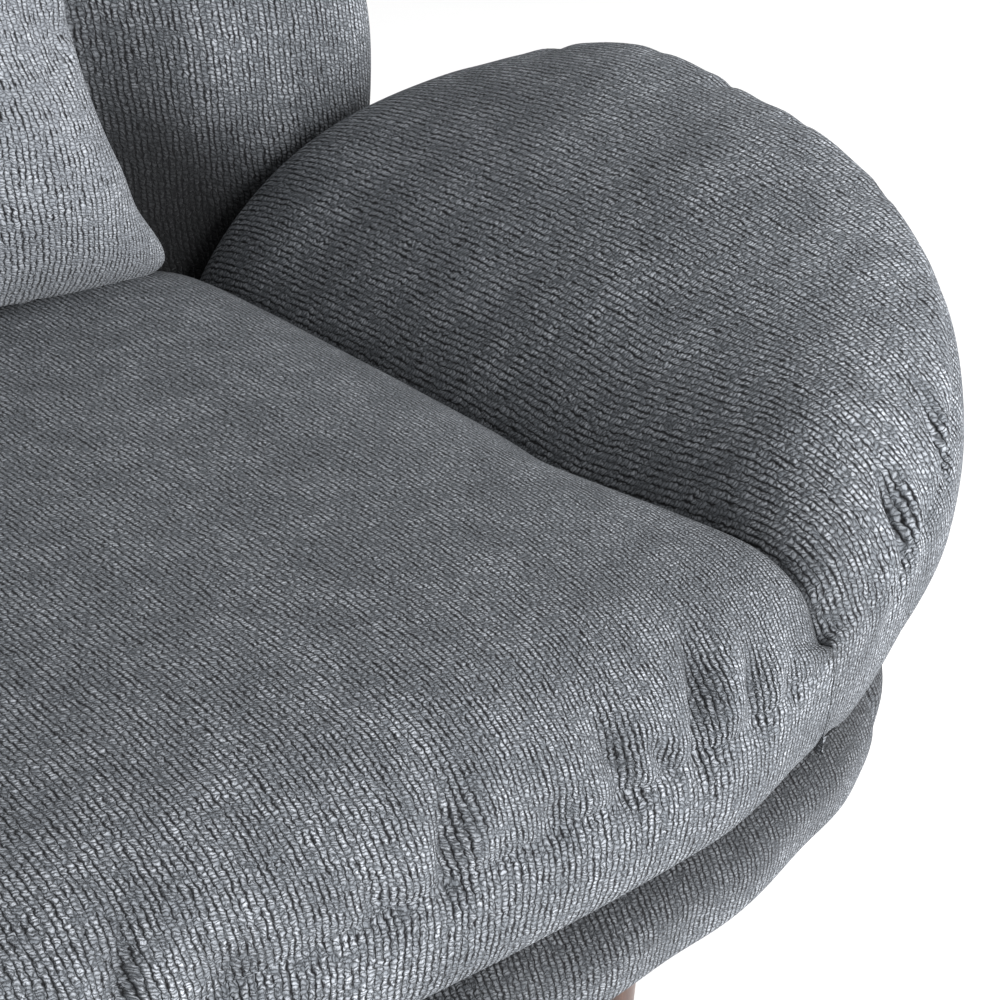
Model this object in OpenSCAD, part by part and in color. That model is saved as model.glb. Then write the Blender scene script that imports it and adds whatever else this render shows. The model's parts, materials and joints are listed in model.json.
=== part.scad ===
// Lounge armchair with two petal-shaped arm cushions that share one boxed band with the seat,
// a tall back cushion, a loose lumbar pillow and a lower padded tier on four short legs.
// Millimetres. +Z is up, the front faces -Y, and the origin is the middle of the floor plan.

/* [Outline of seat and arms] */
// Half the width of the seat and arm outline at seat height
half_w = 502; // [440:1:560]
// How much wider each side is where the arm is highest
flare = 15; // [0:1:40]
// Depth from the middle of the outline to its front edge
front_d = 342; // [300:1:380]
// Squareness of the outline: 2 is an ellipse, larger is boxier
squareness = 3.07; // [2.6:0.01:3.6]
// Height of the panel seam above the deck at the front
seam_h = 74; // [64:1:90]
// How far the boxed band swells out past its seam
band_swell = 12; // [4:1:18]
// Height of the boxed band
band_h = 66; // [50:1:72]
// Running gap between neighbouring soft pieces
gap = 0.4; // [0.3:0.1:0.8]

/* [Arms] */
// Rise of the rim seam from the front of the seat to the top of the arm
rim_rise = 187; // [150:1:230]
// Share of that rise lost again at the back corner
rear_drop = 0.5; // [0.3:0.01:0.7]
// Height that the arm panel is stuffed above a straight line across it
arm_stuffing = 42; // [20:1:60]
// Thickness of the bent plywood board inside each arm
arm_board_t = 15; // [9:1:18]
// Thickness of the padded outside panel of each arm
side_panel_t = 24; // [16:1:30]

/* [Seat] */
// Half the seat's width at its rear corners
seat_rear_w = 195; // [170:1:230]
// Depth of the seat behind the middle of the outline
seat_rear_d = 242; // [225:1:246]
// Height of the crease between seat and arm above the deck
crease_h = 113; // [100:1:125]
// Height of the seat's crown above the deck
crown_h = 147; // [135:1:165]
// Depth over which the crease rolls down to the front seam
crease_roll = 60; // [40:1:90]

/* [Back] */
// Angle that the back leans from upright
back_lean = 12; // [8:1:15]
// Height of the back cushion along its lean
back_h = 600; // [540:1:680]
// Half the width of the back cushion
back_half_w = 412; // [380:1:440]
// Thickness of the back cushion at its boxed edge
back_edge_t = 76; // [66:1:90]
// How far the back cushion's face is crowned past its edge
back_crown = 76; // [40:1:80]
// Depth of the back frame between the cushion and the outside back
frame_depth = 45; // [36:1:60]
// Thickness of the padded outside back
outside_t = 26; // [18:1:34]
// Height of the back springs' wire bends along the lean
back_bend = 28; // [24:1:32]

/* [Lumbar pillow] */
// Width of the pillow laid flat
pillow_w = 392; // [340:1:400]
// Height of the pillow laid flat
pillow_h = 372; // [320:1:400]
// Bulge of the pillow's face in front of its edge seam
pillow_front = 100; // [70:1:110]
// Bulge of the pillow behind its edge seam
pillow_rear = 28; // [24:1:34]
// How far each side pulls in between the corners
pillow_waist = 60; // [20:1:70]

/* [Lower tier and frame] */
// Height of the legs with their glides
leg_h = 188; // [150:1:210]
// Top radius of a leg
leg_r_top = 22; // [18:1:28]
// Bottom radius of a leg
leg_r_foot = 14; // [10:1:18]
// Thickness of each glide
glide_t = 5; // [3:0.5:8]
// Distance of the front legs from the middle plane
leg_front_x = 215; // [190:1:240]
// Distance of the rear legs from the middle plane
leg_rear_x = 206; // [180:1:208]
// Height of the seat rails
rail_h = 52; // [44:1:70]
// Thickness of the seat rails
rail_t = 25; // [20:1:30]
// Thickness of the plywood deck boards
deck_t = 18; // [15:1:22]
// Thickness of the cloth stretched over the deck
cover_t = 1.2; // [0.8:0.1:2]
// Thickness of the padded panels of the lower tier
tier_t = 28; // [20:1:34]
// How far the tier stands inside the outline above it
tier_in = 24; // [12:1:36]
// Depth of the tier behind the middle of the outline
tier_rear_d = 465; // [455:1:490]
// Half the width of the sprung opening in the deck
well_w = 300; // [280:1:310]

/* [Springs and fixings] */
// Number of springs under the seat
seat_springs_n = 5; // [3:1:6]
// Spacing of the seat springs
spring_pitch = 105; // [80:1:110]
// Wire diameter of the springs
wire_d = 3.8; // [3:0.1:4.5]
// Straight stretch between two bends of a spring
spring_leg = 34; // [26:1:42]
// Pitch of the seat springs' bends
seat_bend = 32; // [28:1:36]
// Diameter of the stud that holds each leg
stud_d = 8; // [6:1:10]
// Diameter of the bolts through the back posts
bolt_d = 8; // [6:1:10]

/* [Hidden] */
$fn = 48;

// Colours as the photograph shows them, and plain timber and steel inside
cloth = "#70757d";
cloth_light = "#858b94";
lining = "#3c3e42";
timber = "#c79f6b";
plywood = "#d8bb8a";
foam = "#e9dfb6";
steel = "#9da2a8";

// Heights
frame_z = leg_h + 2;
rail_top = frame_z + rail_h - 2;
deck_z = rail_top + deck_t;
soft_z = deck_z + 0.1 + cover_t + gap / 2;
seam_z = soft_z + seam_h;
crease_z = soft_z + crease_h;
crown_z = soft_z + crown_h;

// Plan positions before the whole chair is centred
mid_y = 12;
seat_rear_y = mid_y + seat_rear_d;
crease_end = -65;
arm_end = 48;

// Rise of the rim along the outline, by angle from the side: front is -90
rise_from = -79;
rise_to = 21;
fall_from = -1;
fall_to = 74;

function smooth(t) = let (c = max(0, min(1, t))) c * c * (3 - 2 * c);
function keep_sign(v, p) = sign(v) * pow(abs(v), p);
function unit(v) = v / norm(v);

// Rounded rise from 0 at an edge to 1 at the given depth inside it
function round_in(d, depth) = let (e = 1 - max(0, min(1, d / depth))) sqrt(1 - e * e);
function from_side(a) = a < -90 ? -180 - a : a;
function lift(a) = smooth((from_side(a) - rise_from) / (rise_to - rise_from))
  * (1 - rear_drop * smooth((from_side(a) - fall_from) / (fall_to - fall_from)));
function oval(a, rx, ry, n = squareness) = [rx * keep_sign(cos(a), 2 / n), ry * keep_sign(sin(a), 2 / n)];
function oval_out(a, rx, ry, n = squareness) = let (p = oval(a, rx, ry, n))
  unit([keep_sign(p.x / rx, n - 1) / rx, keep_sign(p.y / ry, n - 1) / ry]);
function rim(a) = [0, mid_y] + oval(a, half_w + flare * lift(a), front_d);
function rim_out(a) = oval_out(a, half_w, front_d);
function rim_z(a) = seam_z + rim_rise * lift(a);

// The tier and the frame follow the same outline, drawn longer behind the middle
tier_w = half_w - tier_in;
tier_front_d = front_d - 8;
function tier_d(a) = sin(a) < 0 ? tier_front_d : tier_rear_d;
function tier(a, inset = 0) = [0, mid_y] + oval(a, tier_w, tier_d(a))
  - inset * oval_out(a, tier_w, tier_d(a));

// The straight crease between seat and arm, from the rear corner to the front seam
crease_a = [seat_rear_w, seat_rear_y];
crease_f = rim(crease_end);
crease_dir = unit(crease_f - crease_a);
crease_out = [-crease_dir.y, crease_dir.x];
crease_len = norm(crease_f - crease_a);
function crease_height(d) = rim_z(crease_end) + (crease_z - rim_z(crease_end)) * round_in(d, crease_roll);

// Band profile: swell as a share of band_swell, and drop as a share of the band's height
band = [[0.7, 0.18], [1, 0.48], [0.75, 0.78], [-0.3, 0.97], [-1.6, 1.07]];

// A closed soft form: columns of points run from the top pole to the bottom pole
module column_form(top, cols, bottom) {
  n = len(cols);
  m = len(cols[0]);
  last = n * m + 1;
  polyhedron(
    points = concat([top], [for (c = cols) each c], [bottom]),
    faces = concat(
      [for (i = [0:n - 1]) [0, ((i + 1) % n) * m + 1, i * m + 1]],
      [for (i = [0:n - 1], k = [1:m - 1]) let (a = i * m + k, b = ((i + 1) % n) * m + k) [a, b, b + 1]],
      [for (i = [0:n - 1], k = [1:m - 1]) let (a = i * m + k, b = ((i + 1) % n) * m + k) [a, b + 1, a + 1]],
      [for (i = [0:n - 1]) [last, i * m + m, ((i + 1) % n) * m + m]]
    ),
    convexity = 6
  );
}

// A closed strip: the same section at every station, with flat ends fanned from one corner
module strip_form(stations, hub = 0) {
  n = len(stations);
  m = len(stations[0]);
  polyhedron(
    points = [for (s = stations) each s],
    faces = concat(
      [for (i = [0:n - 2], k = [0:m - 1]) let (a = i * m, b = a + m, q = (k + 1) % m) [a + k, b + k, b + q]],
      [for (i = [0:n - 2], k = [0:m - 1]) let (a = i * m, b = a + m, q = (k + 1) % m) [a + k, b + q, a + q]],
      [for (k = [1:m - 2]) [hub, (hub + k) % m, (hub + k + 1) % m]],
      [for (k = [1:m - 2]) let (e = (n - 1) * m) [e + hub, e + (hub + k + 1) % m, e + (hub + k) % m]]
    ),
    convexity = 6
  );
}

// Seat cushion: sections from front to rear, side by side from the left crease to the right one
seat_share = [0, 0.015, 0.05, 0.1, 0.17, 0.27, 0.4, 0.55, 0.7, 0.83, 0.93, 1];
seat_across = 24;
front_roll = 150;
side_roll = 120;
rear_roll = 90;
function wall_point(d, side, shift) = let (q = crease_f - crease_dir * d + crease_out * shift)
  [side * q.x, q.y];
function seat_height(p, z, to_front) = let (side = (crease_a - [abs(p.x), p.y]) * crease_out)
  z + (crease_z - z) * round_in(to_front, crease_roll)
    + (crown_z - crease_z) * round_in(side, side_roll) * round_in(to_front, front_roll)
      * round_in(seat_rear_y - p.y + 12, rear_roll);
function seat_section(t) = let (
    edge = abs(t) == 1,
    a = -90 + t * (90 + crease_end),
    front = edge ? wall_point(0, t, -gap / 2) : rim(a),
    out = edge ? [t * crease_dir.x, crease_dir.y] : rim_out(a),
    rear = edge ? wall_point(crease_len, t, -gap / 2) : [t * seat_rear_w, seat_rear_y],
    z = rim_z(a),
    back = unit(rear - front))
  concat(
    [[rear.x, rear.y, soft_z]],
    [for (i = [len(seat_share) - 1:-1:0]) let (q = front + (rear - front) * seat_share[i])
      [q.x, q.y, seat_height(q, z, norm(q - front))]],
    [for (b = band) let (q = b.x > 0 ? front + out * b.x * band_swell : front - back * b.x * band_swell)
      [q.x, q.y, z - (z - soft_z) * min(0.995, b.y * band_h / seam_h)]],
    [let (q = front + back * 30) [q.x, q.y, soft_z]]
  );
seat_core = [[-165, -225, soft_z + 12], [165, 185, crease_z - 30]];

module seat_cushion() color(cloth) set_down() difference() {
  strip_form([for (i = [-seat_across / 2:seat_across / 2]) seat_section(2 * i / seat_across)], hub = 1);
  block(seat_core, gap);
}

module seat_foam() color(foam) set_down() block(seat_core, 0);

// Petal arm: sections run from the straight crease, over the stuffed panel, to the rising rim seam,
// down the boxed band and back underneath, where a step leaves room for the board and outside panel
arm_share = [0, 0.02, 0.06, 0.13, 0.22, 0.34, 0.48, 0.63, 0.78, 0.9, 0.97, 1];
arm_sections = 30;
arm_first = 0.002;
board_in = 50;
arm_wall_in = board_in + arm_board_t + 6;
arm_rear_roll = 60;
arm_rear_dip = 26;
function arm_fill(f) = pow(sin(180 * pow(f, 0.85)), 0.7);
function arm_a(u) = crease_end + (arm_end - crease_end) * u;
function arm_wall(u) = wall_point(crease_len * pow(u, 1.2), 1, gap / 2);
function arm_dip(u) = arm_rear_dip * (1 - round_in((1 - u) * crease_len, arm_rear_roll));
function arm_in(u, d) = let (e = rim(arm_a(u))) e + unit(arm_wall(u) - e) * d;
function arm_section(u) = let (
    a = arm_a(u),
    wall = arm_wall(u),
    edge = rim(a),
    width = norm(edge - wall),
    inward = unit(wall - edge),
    turn = smooth(width / 40),
    out = unit(crease_dir * (1 - turn) + rim_out(a) * turn),
    low = crease_height(crease_len * pow(u, 1.2)) - arm_dip(u),
    z = rim_z(a) - arm_dip(u),
    step = min(arm_wall_in, 0.6 * width),
    fade = smooth(width / 60))
  concat(
    [[wall.x, wall.y, soft_z]],
    [for (f = arm_share) let (q = wall + (edge - wall) * f)
      [q.x, q.y, low + (z - low) * f + arm_stuffing * arm_fill(f) * min(1, width / 170)]],
    [for (b = band) let (q = edge + (b.x > 0 ? out * b.x : -inward * b.x * fade) * band_swell)
      [q.x, q.y, z - b.y * band_h]],
    [for (e = [[step, z - seam_h], [min(step + 1, 0.8 * width), soft_z]]) let (q = edge + inward * e[0])
      [q.x, q.y, e[1]]]
  );
arm_core = [[285, -110, soft_z + 14], [395, 150, soft_z + 105]];

module arm_cushion() difference() {
  strip_form([for (i = [0:arm_sections])
    arm_section(arm_first + (1 - arm_first) * pow(i / arm_sections, 1.15))], hub = len(arm_share) + len(band) + 1);
  block(arm_core, gap);
}

module arm_cushion_right() color(cloth) set_down() arm_cushion();
module arm_cushion_left() color(cloth) set_down() mirror([1, 0, 0]) arm_cushion();
module arm_foam_right() color(foam) set_down() block(arm_core, 0);
module arm_foam_left() color(foam) set_down() mirror([1, 0, 0]) block(arm_core, 0);

// Bent boards and padded outside panels stand on the deck under the band of each arm
panel_from = 0.14;
board_from = 0.19;
upright_to = 0.965;
function upright(u, outer, inner) = let (
    p = arm_in(u, outer),
    q = arm_in(u, inner),
    z = rim_z(arm_a(u)) - arm_dip(u) - seam_h - 1.6)
  [[p.x, p.y, soft_z], [q.x, q.y, soft_z], [q.x, q.y, z], [p.x, p.y, z]];
function padded_upright(u, outer, inner, swell) = let (
    r = upright(u, outer, inner),
    p = arm_in(u, outer - swell),
    h = r[3].z - soft_z)
  concat(r, [[p.x, p.y, soft_z + 0.8 * h], [p.x, p.y, soft_z + 0.2 * h]]);
module arm_board() strip_form([for (i = [0:16])
  upright(board_from + (upright_to - board_from) * i / 16, board_in, board_in + arm_board_t)]);
panel_in = board_in - 1;
module side_panel() strip_form([for (i = [0:18])
  padded_upright(panel_from + (upright_to - panel_from) * i / 18, panel_in - side_panel_t, panel_in, 5)]);

module arm_board_right() color(plywood) set_down() arm_board();
module arm_board_left() color(plywood) set_down() mirror([1, 0, 0]) arm_board();
module side_panel_right() color(cloth) set_down() side_panel();
module side_panel_left() color(cloth) set_down() mirror([1, 0, 0]) side_panel();

// Lower tier: four padded panels that meet at upright seams
tier_low = leg_h - 4;
tier_high = deck_z - 3;
tier_seam = 44;
function tier_section(a) = let (
    p = [for (o = [-1, -6, -7, -1, 8]) tier(a, o + 2)],
    q = tier(a, tier_t),
    h = tier_high - tier_low)
  [[q.x, q.y, tier_low + 3], [q.x, q.y, tier_high - 2], [p[4].x, p[4].y, tier_high],
    [p[3].x, p[3].y, tier_high - 0.12 * h], [p[2].x, p[2].y, tier_high - 0.38 * h],
    [p[1].x, p[1].y, tier_low + 0.3 * h], [p[0].x, p[0].y, tier_low + 0.1 * h], [p[4].x, p[4].y, tier_low]];
tier_n = 20;
module tier_panel(from, to) strip_form([for (i = [0:tier_n])
  tier_section(from + 0.05 + (to - from - 0.1) * i / tier_n)]);

module tier_panel_front() color(cloth) set_down() tier_panel(-180 + tier_seam, -tier_seam);
module tier_panel_rear() color(cloth) set_down() tier_panel(tier_seam, 180 - tier_seam);
module tier_panel_right() color(cloth) set_down() tier_panel(-tier_seam, tier_seam);
module tier_panel_left() color(cloth) set_down() tier_panel(180 - tier_seam, 180 + tier_seam);

// Timber frame inside the tier
front_len = 2 * 230;
function tier_y(x, d) = d * pow(1 - pow(abs(x) / tier_w, squareness), 1 / squareness);
rail_front_y = mid_y - tier_y(front_len / 2, tier_front_d) + tier_t + 3;
post_x = 243;
post_w = 35;
post_leg = 34;
rail_rear_y = mid_y + tier_y(post_x + post_w, tier_rear_d) - tier_t - post_leg - rail_t - 12;
rail_side_x = tier_w - tier_t - 112;
side_from = rail_front_y + rail_t + 40;
side_to = rail_rear_y - 24;
well_front = rail_front_y + 46;
well_rear = rail_rear_y + 4;

module front_rail() color(timber) set_down() difference() {
  translate([-front_len / 2, rail_front_y, frame_z]) cube([front_len, rail_t, rail_h - 2]);
  screw_holes();
}

module rear_rail() color(timber) set_down() difference() {
  translate([-rail_side_x, rail_rear_y, frame_z]) cube([2 * rail_side_x, rail_t, rail_h - 2]);
  screw_holes();
  back_bolt_holes();
}

module side_rail() difference() {
  translate([rail_side_x, side_from, frame_z]) cube([rail_t, side_to - side_from, rail_h - 2]);
  screw_holes();
}
module side_rail_right() color(timber) set_down() side_rail();
module side_rail_left() color(timber) set_down() mirror([1, 0, 0]) side_rail();

// Slanted blocks close the four corners between the rails
module corner_block(x, y0, y1, side_y) translate([0, 0, frame_z]) linear_extrude(rail_h - 2)
  polygon([[x + 0.2, y0], [x + 0.2, y1], [leg_front_x + block_size / 2 + 1, y1],
    [rail_side_x, side_y], [rail_side_x + rail_t, side_y]]);
module corner_blocks() color(timber) set_down() for (s = [0, 1]) mirror([s, 0, 0]) {
  corner_block(front_len / 2, rail_front_y, rail_front_y + rail_t, side_from - 0.2);
  translate([0, 0, frame_z]) linear_extrude(rail_h - 2)
    polygon([[rail_side_x - 34, rail_rear_y - 0.2], [rail_side_x, rail_rear_y - 0.2],
      [rail_side_x + rail_t, side_to + 0.2], [rail_side_x, side_to + 0.2]]);
}

// Deck boards round the sprung well, screwed down into the rails
deck_in = tier_t + 0.3;
tier_ends = [-tier_seam, tier_seam, 180 - tier_seam, 180 + tier_seam, 360 - tier_seam];
deck_outline = [for (k = [0:3], i = [1:tier_n])
  tier(tier_ends[k] + (tier_ends[k + 1] - tier_ends[k]) * i / tier_n, deck_in)];
module deck_piece(x0, x1, y0, y1) difference() {
  translate([0, 0, rail_top]) linear_extrude(deck_t) intersection() {
    polygon(deck_outline);
    translate([x0, y0]) square([x1 - x0, y1 - y0]);
  }
  screw_holes();
  post_notches();
}
module post_notches() for (s = [0, 1]) mirror([s, 0, 0])
  translate([post_x - 1, post_front - 0.1, rail_top - 1]) cube([post_w + 2, 62, deck_t + 10]);
deck_rear_y = mid_y + tier_rear_d;
module deck_board_front() color(plywood) set_down() deck_piece(-half_w, half_w, -front_d, well_front);
module deck_board_rear() color(plywood) set_down() deck_piece(-well_w, well_w, well_rear, deck_rear_y);
module deck_board_right() color(plywood) set_down()
  deck_piece(well_w + 0.2, half_w, well_front + 0.2, deck_rear_y);
module deck_board_left() color(plywood) set_down()
  deck_piece(-half_w, -well_w - 0.2, well_front + 0.2, deck_rear_y);

screw_d = 4;
screw_head_d = 9;
screw_len = 42;
screw_side_x = rail_side_x + rail_t / 2;
screw_at = concat(
  [for (x = [-180, 0, 180]) [x, rail_front_y + rail_t / 2]],
  [for (x = [-150, 150]) [x, rail_rear_y + rail_t - 8]],
  [for (x = [-screw_side_x, screw_side_x], y = [-60, 200]) [x, y]]);
module screw_holes() for (p = screw_at) translate([p.x, p.y, deck_z]) {
  translate([0, 0, -3.4]) cylinder(h = 4, d = screw_head_d + 0.6);
  translate([0, 0, -screw_len - 0.4]) cylinder(h = screw_len + 1, d = screw_d + 0.2);
}
module rail_screws() color(steel) set_down() for (p = screw_at) translate([p.x, p.y, deck_z - 3.3]) {
  cylinder(h = 3, d = screw_head_d);
  translate([0, 0, 3.3 - screw_len]) cylinder(h = screw_len - 1, d = screw_d);
}

// Legs with studs, glides, tee nuts and blocks
leg_front_y = rail_front_y + rail_t + 35.2;
leg_rear_y = rail_rear_y - 35.2;
block_size = 70;
block_h = 34;
stud_into_leg = 30;
leg_places = [[-leg_front_x, leg_front_y], [leg_front_x, leg_front_y],
  [-leg_rear_x, leg_rear_y], [leg_rear_x, leg_rear_y]];
module at_legs() for (p = leg_places) translate([p.x, p.y, 0]) children();
module leg(i) translate([leg_places[i].x, leg_places[i].y, glide_t]) difference() {
  cylinder(h = leg_h - glide_t, r1 = leg_r_foot, r2 = leg_r_top);
  translate([0, 0, leg_h - glide_t - stud_into_leg]) cylinder(h = stud_into_leg + 1, d = stud_d + 0.4);
}
module leg_front_left() color(timber) set_down() leg(0);
module leg_front_right() color(timber) set_down() leg(1);
module leg_rear_left() color(timber) set_down() leg(2);
module leg_rear_right() color(timber) set_down() leg(3);
module leg_glides() color(lining) set_down() at_legs() cylinder(h = glide_t - 0.1, r = leg_r_foot - 2);
module leg_studs() color(steel) set_down() at_legs()
  translate([0, 0, leg_h - stud_into_leg + 0.3]) cylinder(h = stud_into_leg + block_h, d = stud_d);
module leg_blocks() color(timber) set_down() at_legs() difference() {
  translate([-block_size / 2, -block_size / 2, leg_h + 0.2]) cube([block_size, block_size, block_h]);
  cylinder(h = leg_h + block_h + 1, d = stud_d + 4.4);
}
module tee_nuts() color(steel) set_down() at_legs() difference() {
  union() {
    translate([0, 0, leg_h + block_h + 0.4]) cylinder(h = 1.6, d = 22);
    translate([0, 0, leg_h + block_h - 12]) cylinder(h = 13, d = stud_d + 4);
  }
  translate([0, 0, leg_h]) cylinder(h = block_h + 10, d = stud_d + 0.4);
}

// Sinuous springs: half-turn bends joined by straight stretches across the spring
module spring_wire(n, bend, leg) {
  r = bend / 2;
  for (i = [0:n - 1]) translate([0, i * bend, 0]) {
    side = i % 2 == 0 ? 1 : -1;
    translate([-leg / 2, 0, 0]) rotate([0, 90, 0]) cylinder(h = leg, d = wire_d, $fn = 16);
    if (i < n - 1) translate([side * leg / 2, r, 0]) rotate([0, 0, side > 0 ? -90 : 90])
      rotate_extrude(angle = 180, $fn = 24) translate([r, 0]) circle(d = wire_d, $fn = 16);
  }
}
spring_z = deck_z - 6.2;
seat_span = well_rear - well_front - 18;
seat_turns = floor(seat_span / seat_bend);
seat_start = (well_front + well_rear - seat_turns * seat_bend) / 2;
function spring_x(i) = (i - (seat_springs_n - 1) / 2) * spring_pitch;
module seat_springs() color(steel) set_down() for (i = [0:seat_springs_n - 1])
  translate([spring_x(i), seat_start, spring_z]) spring_wire(seat_turns + 1, seat_bend, spring_leg);
clip_gap = 0.3;
module clip(x, y0, y1) translate([x - 9, y0, spring_z - 4]) cube([18, y1 - y0, 6]);
module spring_clips() color(steel) set_down() for (i = [0:seat_springs_n - 1]) {
  clip(spring_x(i), well_front + 0.1, seat_start - wire_d / 2 - clip_gap);
  clip(spring_x(i), seat_start + seat_turns * seat_bend + wire_d / 2 + clip_gap, well_rear - 0.1);
}
module spring_pad() color(lining) set_down()
  translate([-well_w + 2, well_front + 2, spring_z + wire_d / 2 + 0.4])
    cube([2 * well_w - 4, well_rear - well_front - 4, 3.4]);
module deck_cover() color(lining) set_down() difference() {
  translate([0, 0, deck_z + 0.1]) linear_extrude(cover_t) polygon(deck_outline);
  post_notches();
}
module dust_cover() color(lining) set_down() translate([0, 0, leg_h + 0.4]) difference() {
  linear_extrude(1.2) polygon(deck_outline);
  for (p = leg_places) translate([p.x - block_size / 2 - 1, p.y - block_size / 2 - 1, -1])
    cube([block_size + 2, block_size + 2, 4]);
}

// Back parts are drawn upright: x across, y towards the front, z up the lean
back_y = mid_y + 364;
function leaned(p) = [p.x, back_y + p.z * sin(back_lean) - p.y * cos(back_lean),
  soft_z + p.z * cos(back_lean) + p.y * sin(back_lean)];
module lean_back() translate([0, back_y, soft_z]) rotate([-back_lean, 0, 0]) mirror([0, 1, 0]) children();

// Back cushion: a boxed edge and a crowned face whose outline gets rounder towards the middle
back_n = 44;
back_square = 3.2;
back_rings = [0.3, 0.55, 0.74, 0.87, 0.95, 0.988];
function pad_point(a, rx, rz, s, mid_z, y, low = back_square) = let (
    p = oval(a, rx, rz, 2 + ((sin(a) < 0 ? low : back_square) - 2) * s * s))
  [p.x * s, y, mid_z + p.y * s];
function back_column(a) = concat(
  [for (s = back_rings) pad_point(a, back_half_w - 6, back_h / 2 - 6, s, back_h / 2,
    back_edge_t + back_crown * sqrt(1 - pow(s, 4)))],
  [for (e = [[6, 1], [1, 0.8], [0, 0.5], [2, 0.2], [8, 0]])
    pad_point(a, back_half_w - e.x, back_h / 2 - e.x, 1, back_h / 2, back_edge_t * e.y)]
);
back_core = [[-300, 14, 80], [300, back_edge_t - 8, back_h - 90]];
module back_cushion() color(cloth) set_down() lean_back() difference() {
  column_form([0, back_edge_t + back_crown, back_h / 2],
    [for (i = [back_n:-1:1]) back_column(360 * i / back_n)], [0, 0, back_h / 2]);
  block(back_core, gap);
}
module back_foam() color(foam) set_down() lean_back() block(back_core, 0);

// Outside back and its borders
shell_low = 20;
shell_half_w = back_half_w - 12;
shell_half_h = (back_h - shell_low) / 2;
shell_mid = (back_h + shell_low) / 2;
shell_front = -frame_depth - gap;
shell_square = 6;
function shell_point(a, less, s, y) =
  pad_point(a, shell_half_w - less, shell_half_h - less, s, shell_mid, y, shell_square);
function shell_column(a) = [for (e = [[3, 1, 0], [0, 1, 0.3], [6, 1, 0.75], [0, 0.9, 1], [0, 0.6, 1.2]])
  shell_point(a, e[0], e[1], shell_front - outside_t * e[2])];
shell_cols = [for (i = [40:-1:1]) shell_column(360 * i / 40)];
module outside_back() color(cloth) set_down() lean_back()
  column_form([0, shell_front, shell_mid], shell_cols, [0, shell_front - outside_t * 1.3, shell_mid]);
border_t = 18;
function border_section(a) = let (
    f = -gap,
    b = -frame_depth,
    o = shell_point(a, 3, 1, f),
    m = shell_point(a, 0, 1, (f + b) / 2),
    i = shell_point(a, border_t, 1, f))
  [[o.x, f, o.z], [m.x, m.y, m.z], [o.x, b, o.z], [i.x, b, i.z], [i.x, f, i.z]];
module back_border(from, to, n) set_down() lean_back() strip_form([for (i = [n:-1:0])
  border_section(from + 0.1 + (to - from - 0.2) * i / n)]);
module back_border_right() color(cloth) back_border(-52, 40, 16);
module back_border_left() color(cloth) back_border(140, 232, 16);
module back_border_top() color(cloth) back_border(40, 140, 18);

// Back frame: two posts with a knee, two rails between them, springs and bolts
post_y0 = -1;
post_y1 = post_y0 - 30;
post_front = rail_rear_y + rail_t + 0.2;
post_knee = 8;
post_top = back_h - 62;
module back_post(side) difference() {
  translate([side * (post_x + post_w / 2), 0, 0]) rotate([90, 0, 90])
    translate([0, 0, -post_w / 2]) linear_extrude(post_w) {
      a = leaned([0, post_y0, post_knee]);
      b = leaned([0, post_y0, post_top]);
      c = leaned([0, post_y1, post_top]);
      d = leaned([0, post_y1, post_knee]);
      polygon([[post_front, frame_z], [post_front, rail_top], [a.y, a.z], [b.y, b.z], [c.y, c.z], [d.y, d.z],
        [post_front + post_leg, frame_z + 30], [post_front + post_leg, frame_z]]);
    }
  back_bolt_holes();
}
module back_post_left() color(timber) set_down() back_post(-1);
module back_post_right() color(timber) set_down() back_post(1);
bolt_z = [frame_z + 10, frame_z + 22];
bolt_grip = post_leg + rail_t + 0.4;
module at_bolts() for (s = [-1, 1], i = [0, 1])
  translate([s * (post_x + post_w / 2 + (i - 0.5) * 14), rail_rear_y - 0.2, bolt_z[i]]) rotate([-90, 0, 0])
    children();
module back_bolt_holes() at_bolts() translate([0, 0, -1]) cylinder(h = bolt_grip + 2, d = bolt_d + 0.4);
module back_bolts() color(steel) set_down() at_bolts() {
  translate([0, 0, -5]) cylinder(h = bolt_grip + 5.2, d = bolt_d);
  translate([0, 0, bolt_grip + 0.2]) cylinder(h = 3, d = 13);
  translate([0, 0, -5]) cylinder(h = 4.8, d = 13, $fn = 6);
}
rail_y = [post_y1 + 2, post_y0 - 7];
module back_cross(z, h) color(timber) set_down() lean_back()
  translate([-post_x + 0.2, rail_y[0], z]) cube([2 * post_x - 0.4, rail_y[1] - rail_y[0], h]);
lower_rail_z = 36;
lower_rail_h = 46;
top_rail_h = 46;
module back_lower_rail() back_cross(lower_rail_z, lower_rail_h);
module back_top_rail() back_cross(post_top - top_rail_h, top_rail_h);
back_springs_n = 4;
back_spring_y = -wire_d / 2 - 0.8;
back_from = lower_rail_z + lower_rail_h;
back_to = post_top - top_rail_h;
back_turns = floor((back_to - back_from - 18) / back_bend);
back_start = (back_from + back_to - back_turns * back_bend) / 2;
back_spring_pitch = 108;
function back_spring_x(i) = (i - (back_springs_n - 1) / 2) * back_spring_pitch;
module back_springs() color(steel) set_down() lean_back() for (i = [0:back_springs_n - 1])
  translate([back_spring_x(i), back_spring_y, back_start]) rotate([90, 0, 0])
    spring_wire(back_turns + 1, back_bend, spring_leg);
// Each clip is a plate on the rail's front face that turns down at the wire's end
module back_clip(x, z0, z1, zr) {
  translate([x - 9, rail_y[1] + 0.1, min(z0, zr)]) cube([18, 2, max(z1, zr) - min(z0, zr)]);
  translate([x - 9, rail_y[1] + 0.1, z0]) cube([18, back_spring_y + wire_d / 2 - rail_y[1] - 0.1, z1 - z0]);
}
module back_clips() color(steel) set_down() lean_back() for (i = [0:back_springs_n - 1]) {
  back_clip(back_spring_x(i), back_from + 0.1, back_start - wire_d / 2 - clip_gap, back_from - 14);
  back_clip(back_spring_x(i), back_start + back_turns * back_bend + wire_d / 2 + clip_gap, back_to - 0.1,
    back_to + 14);
}

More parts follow.
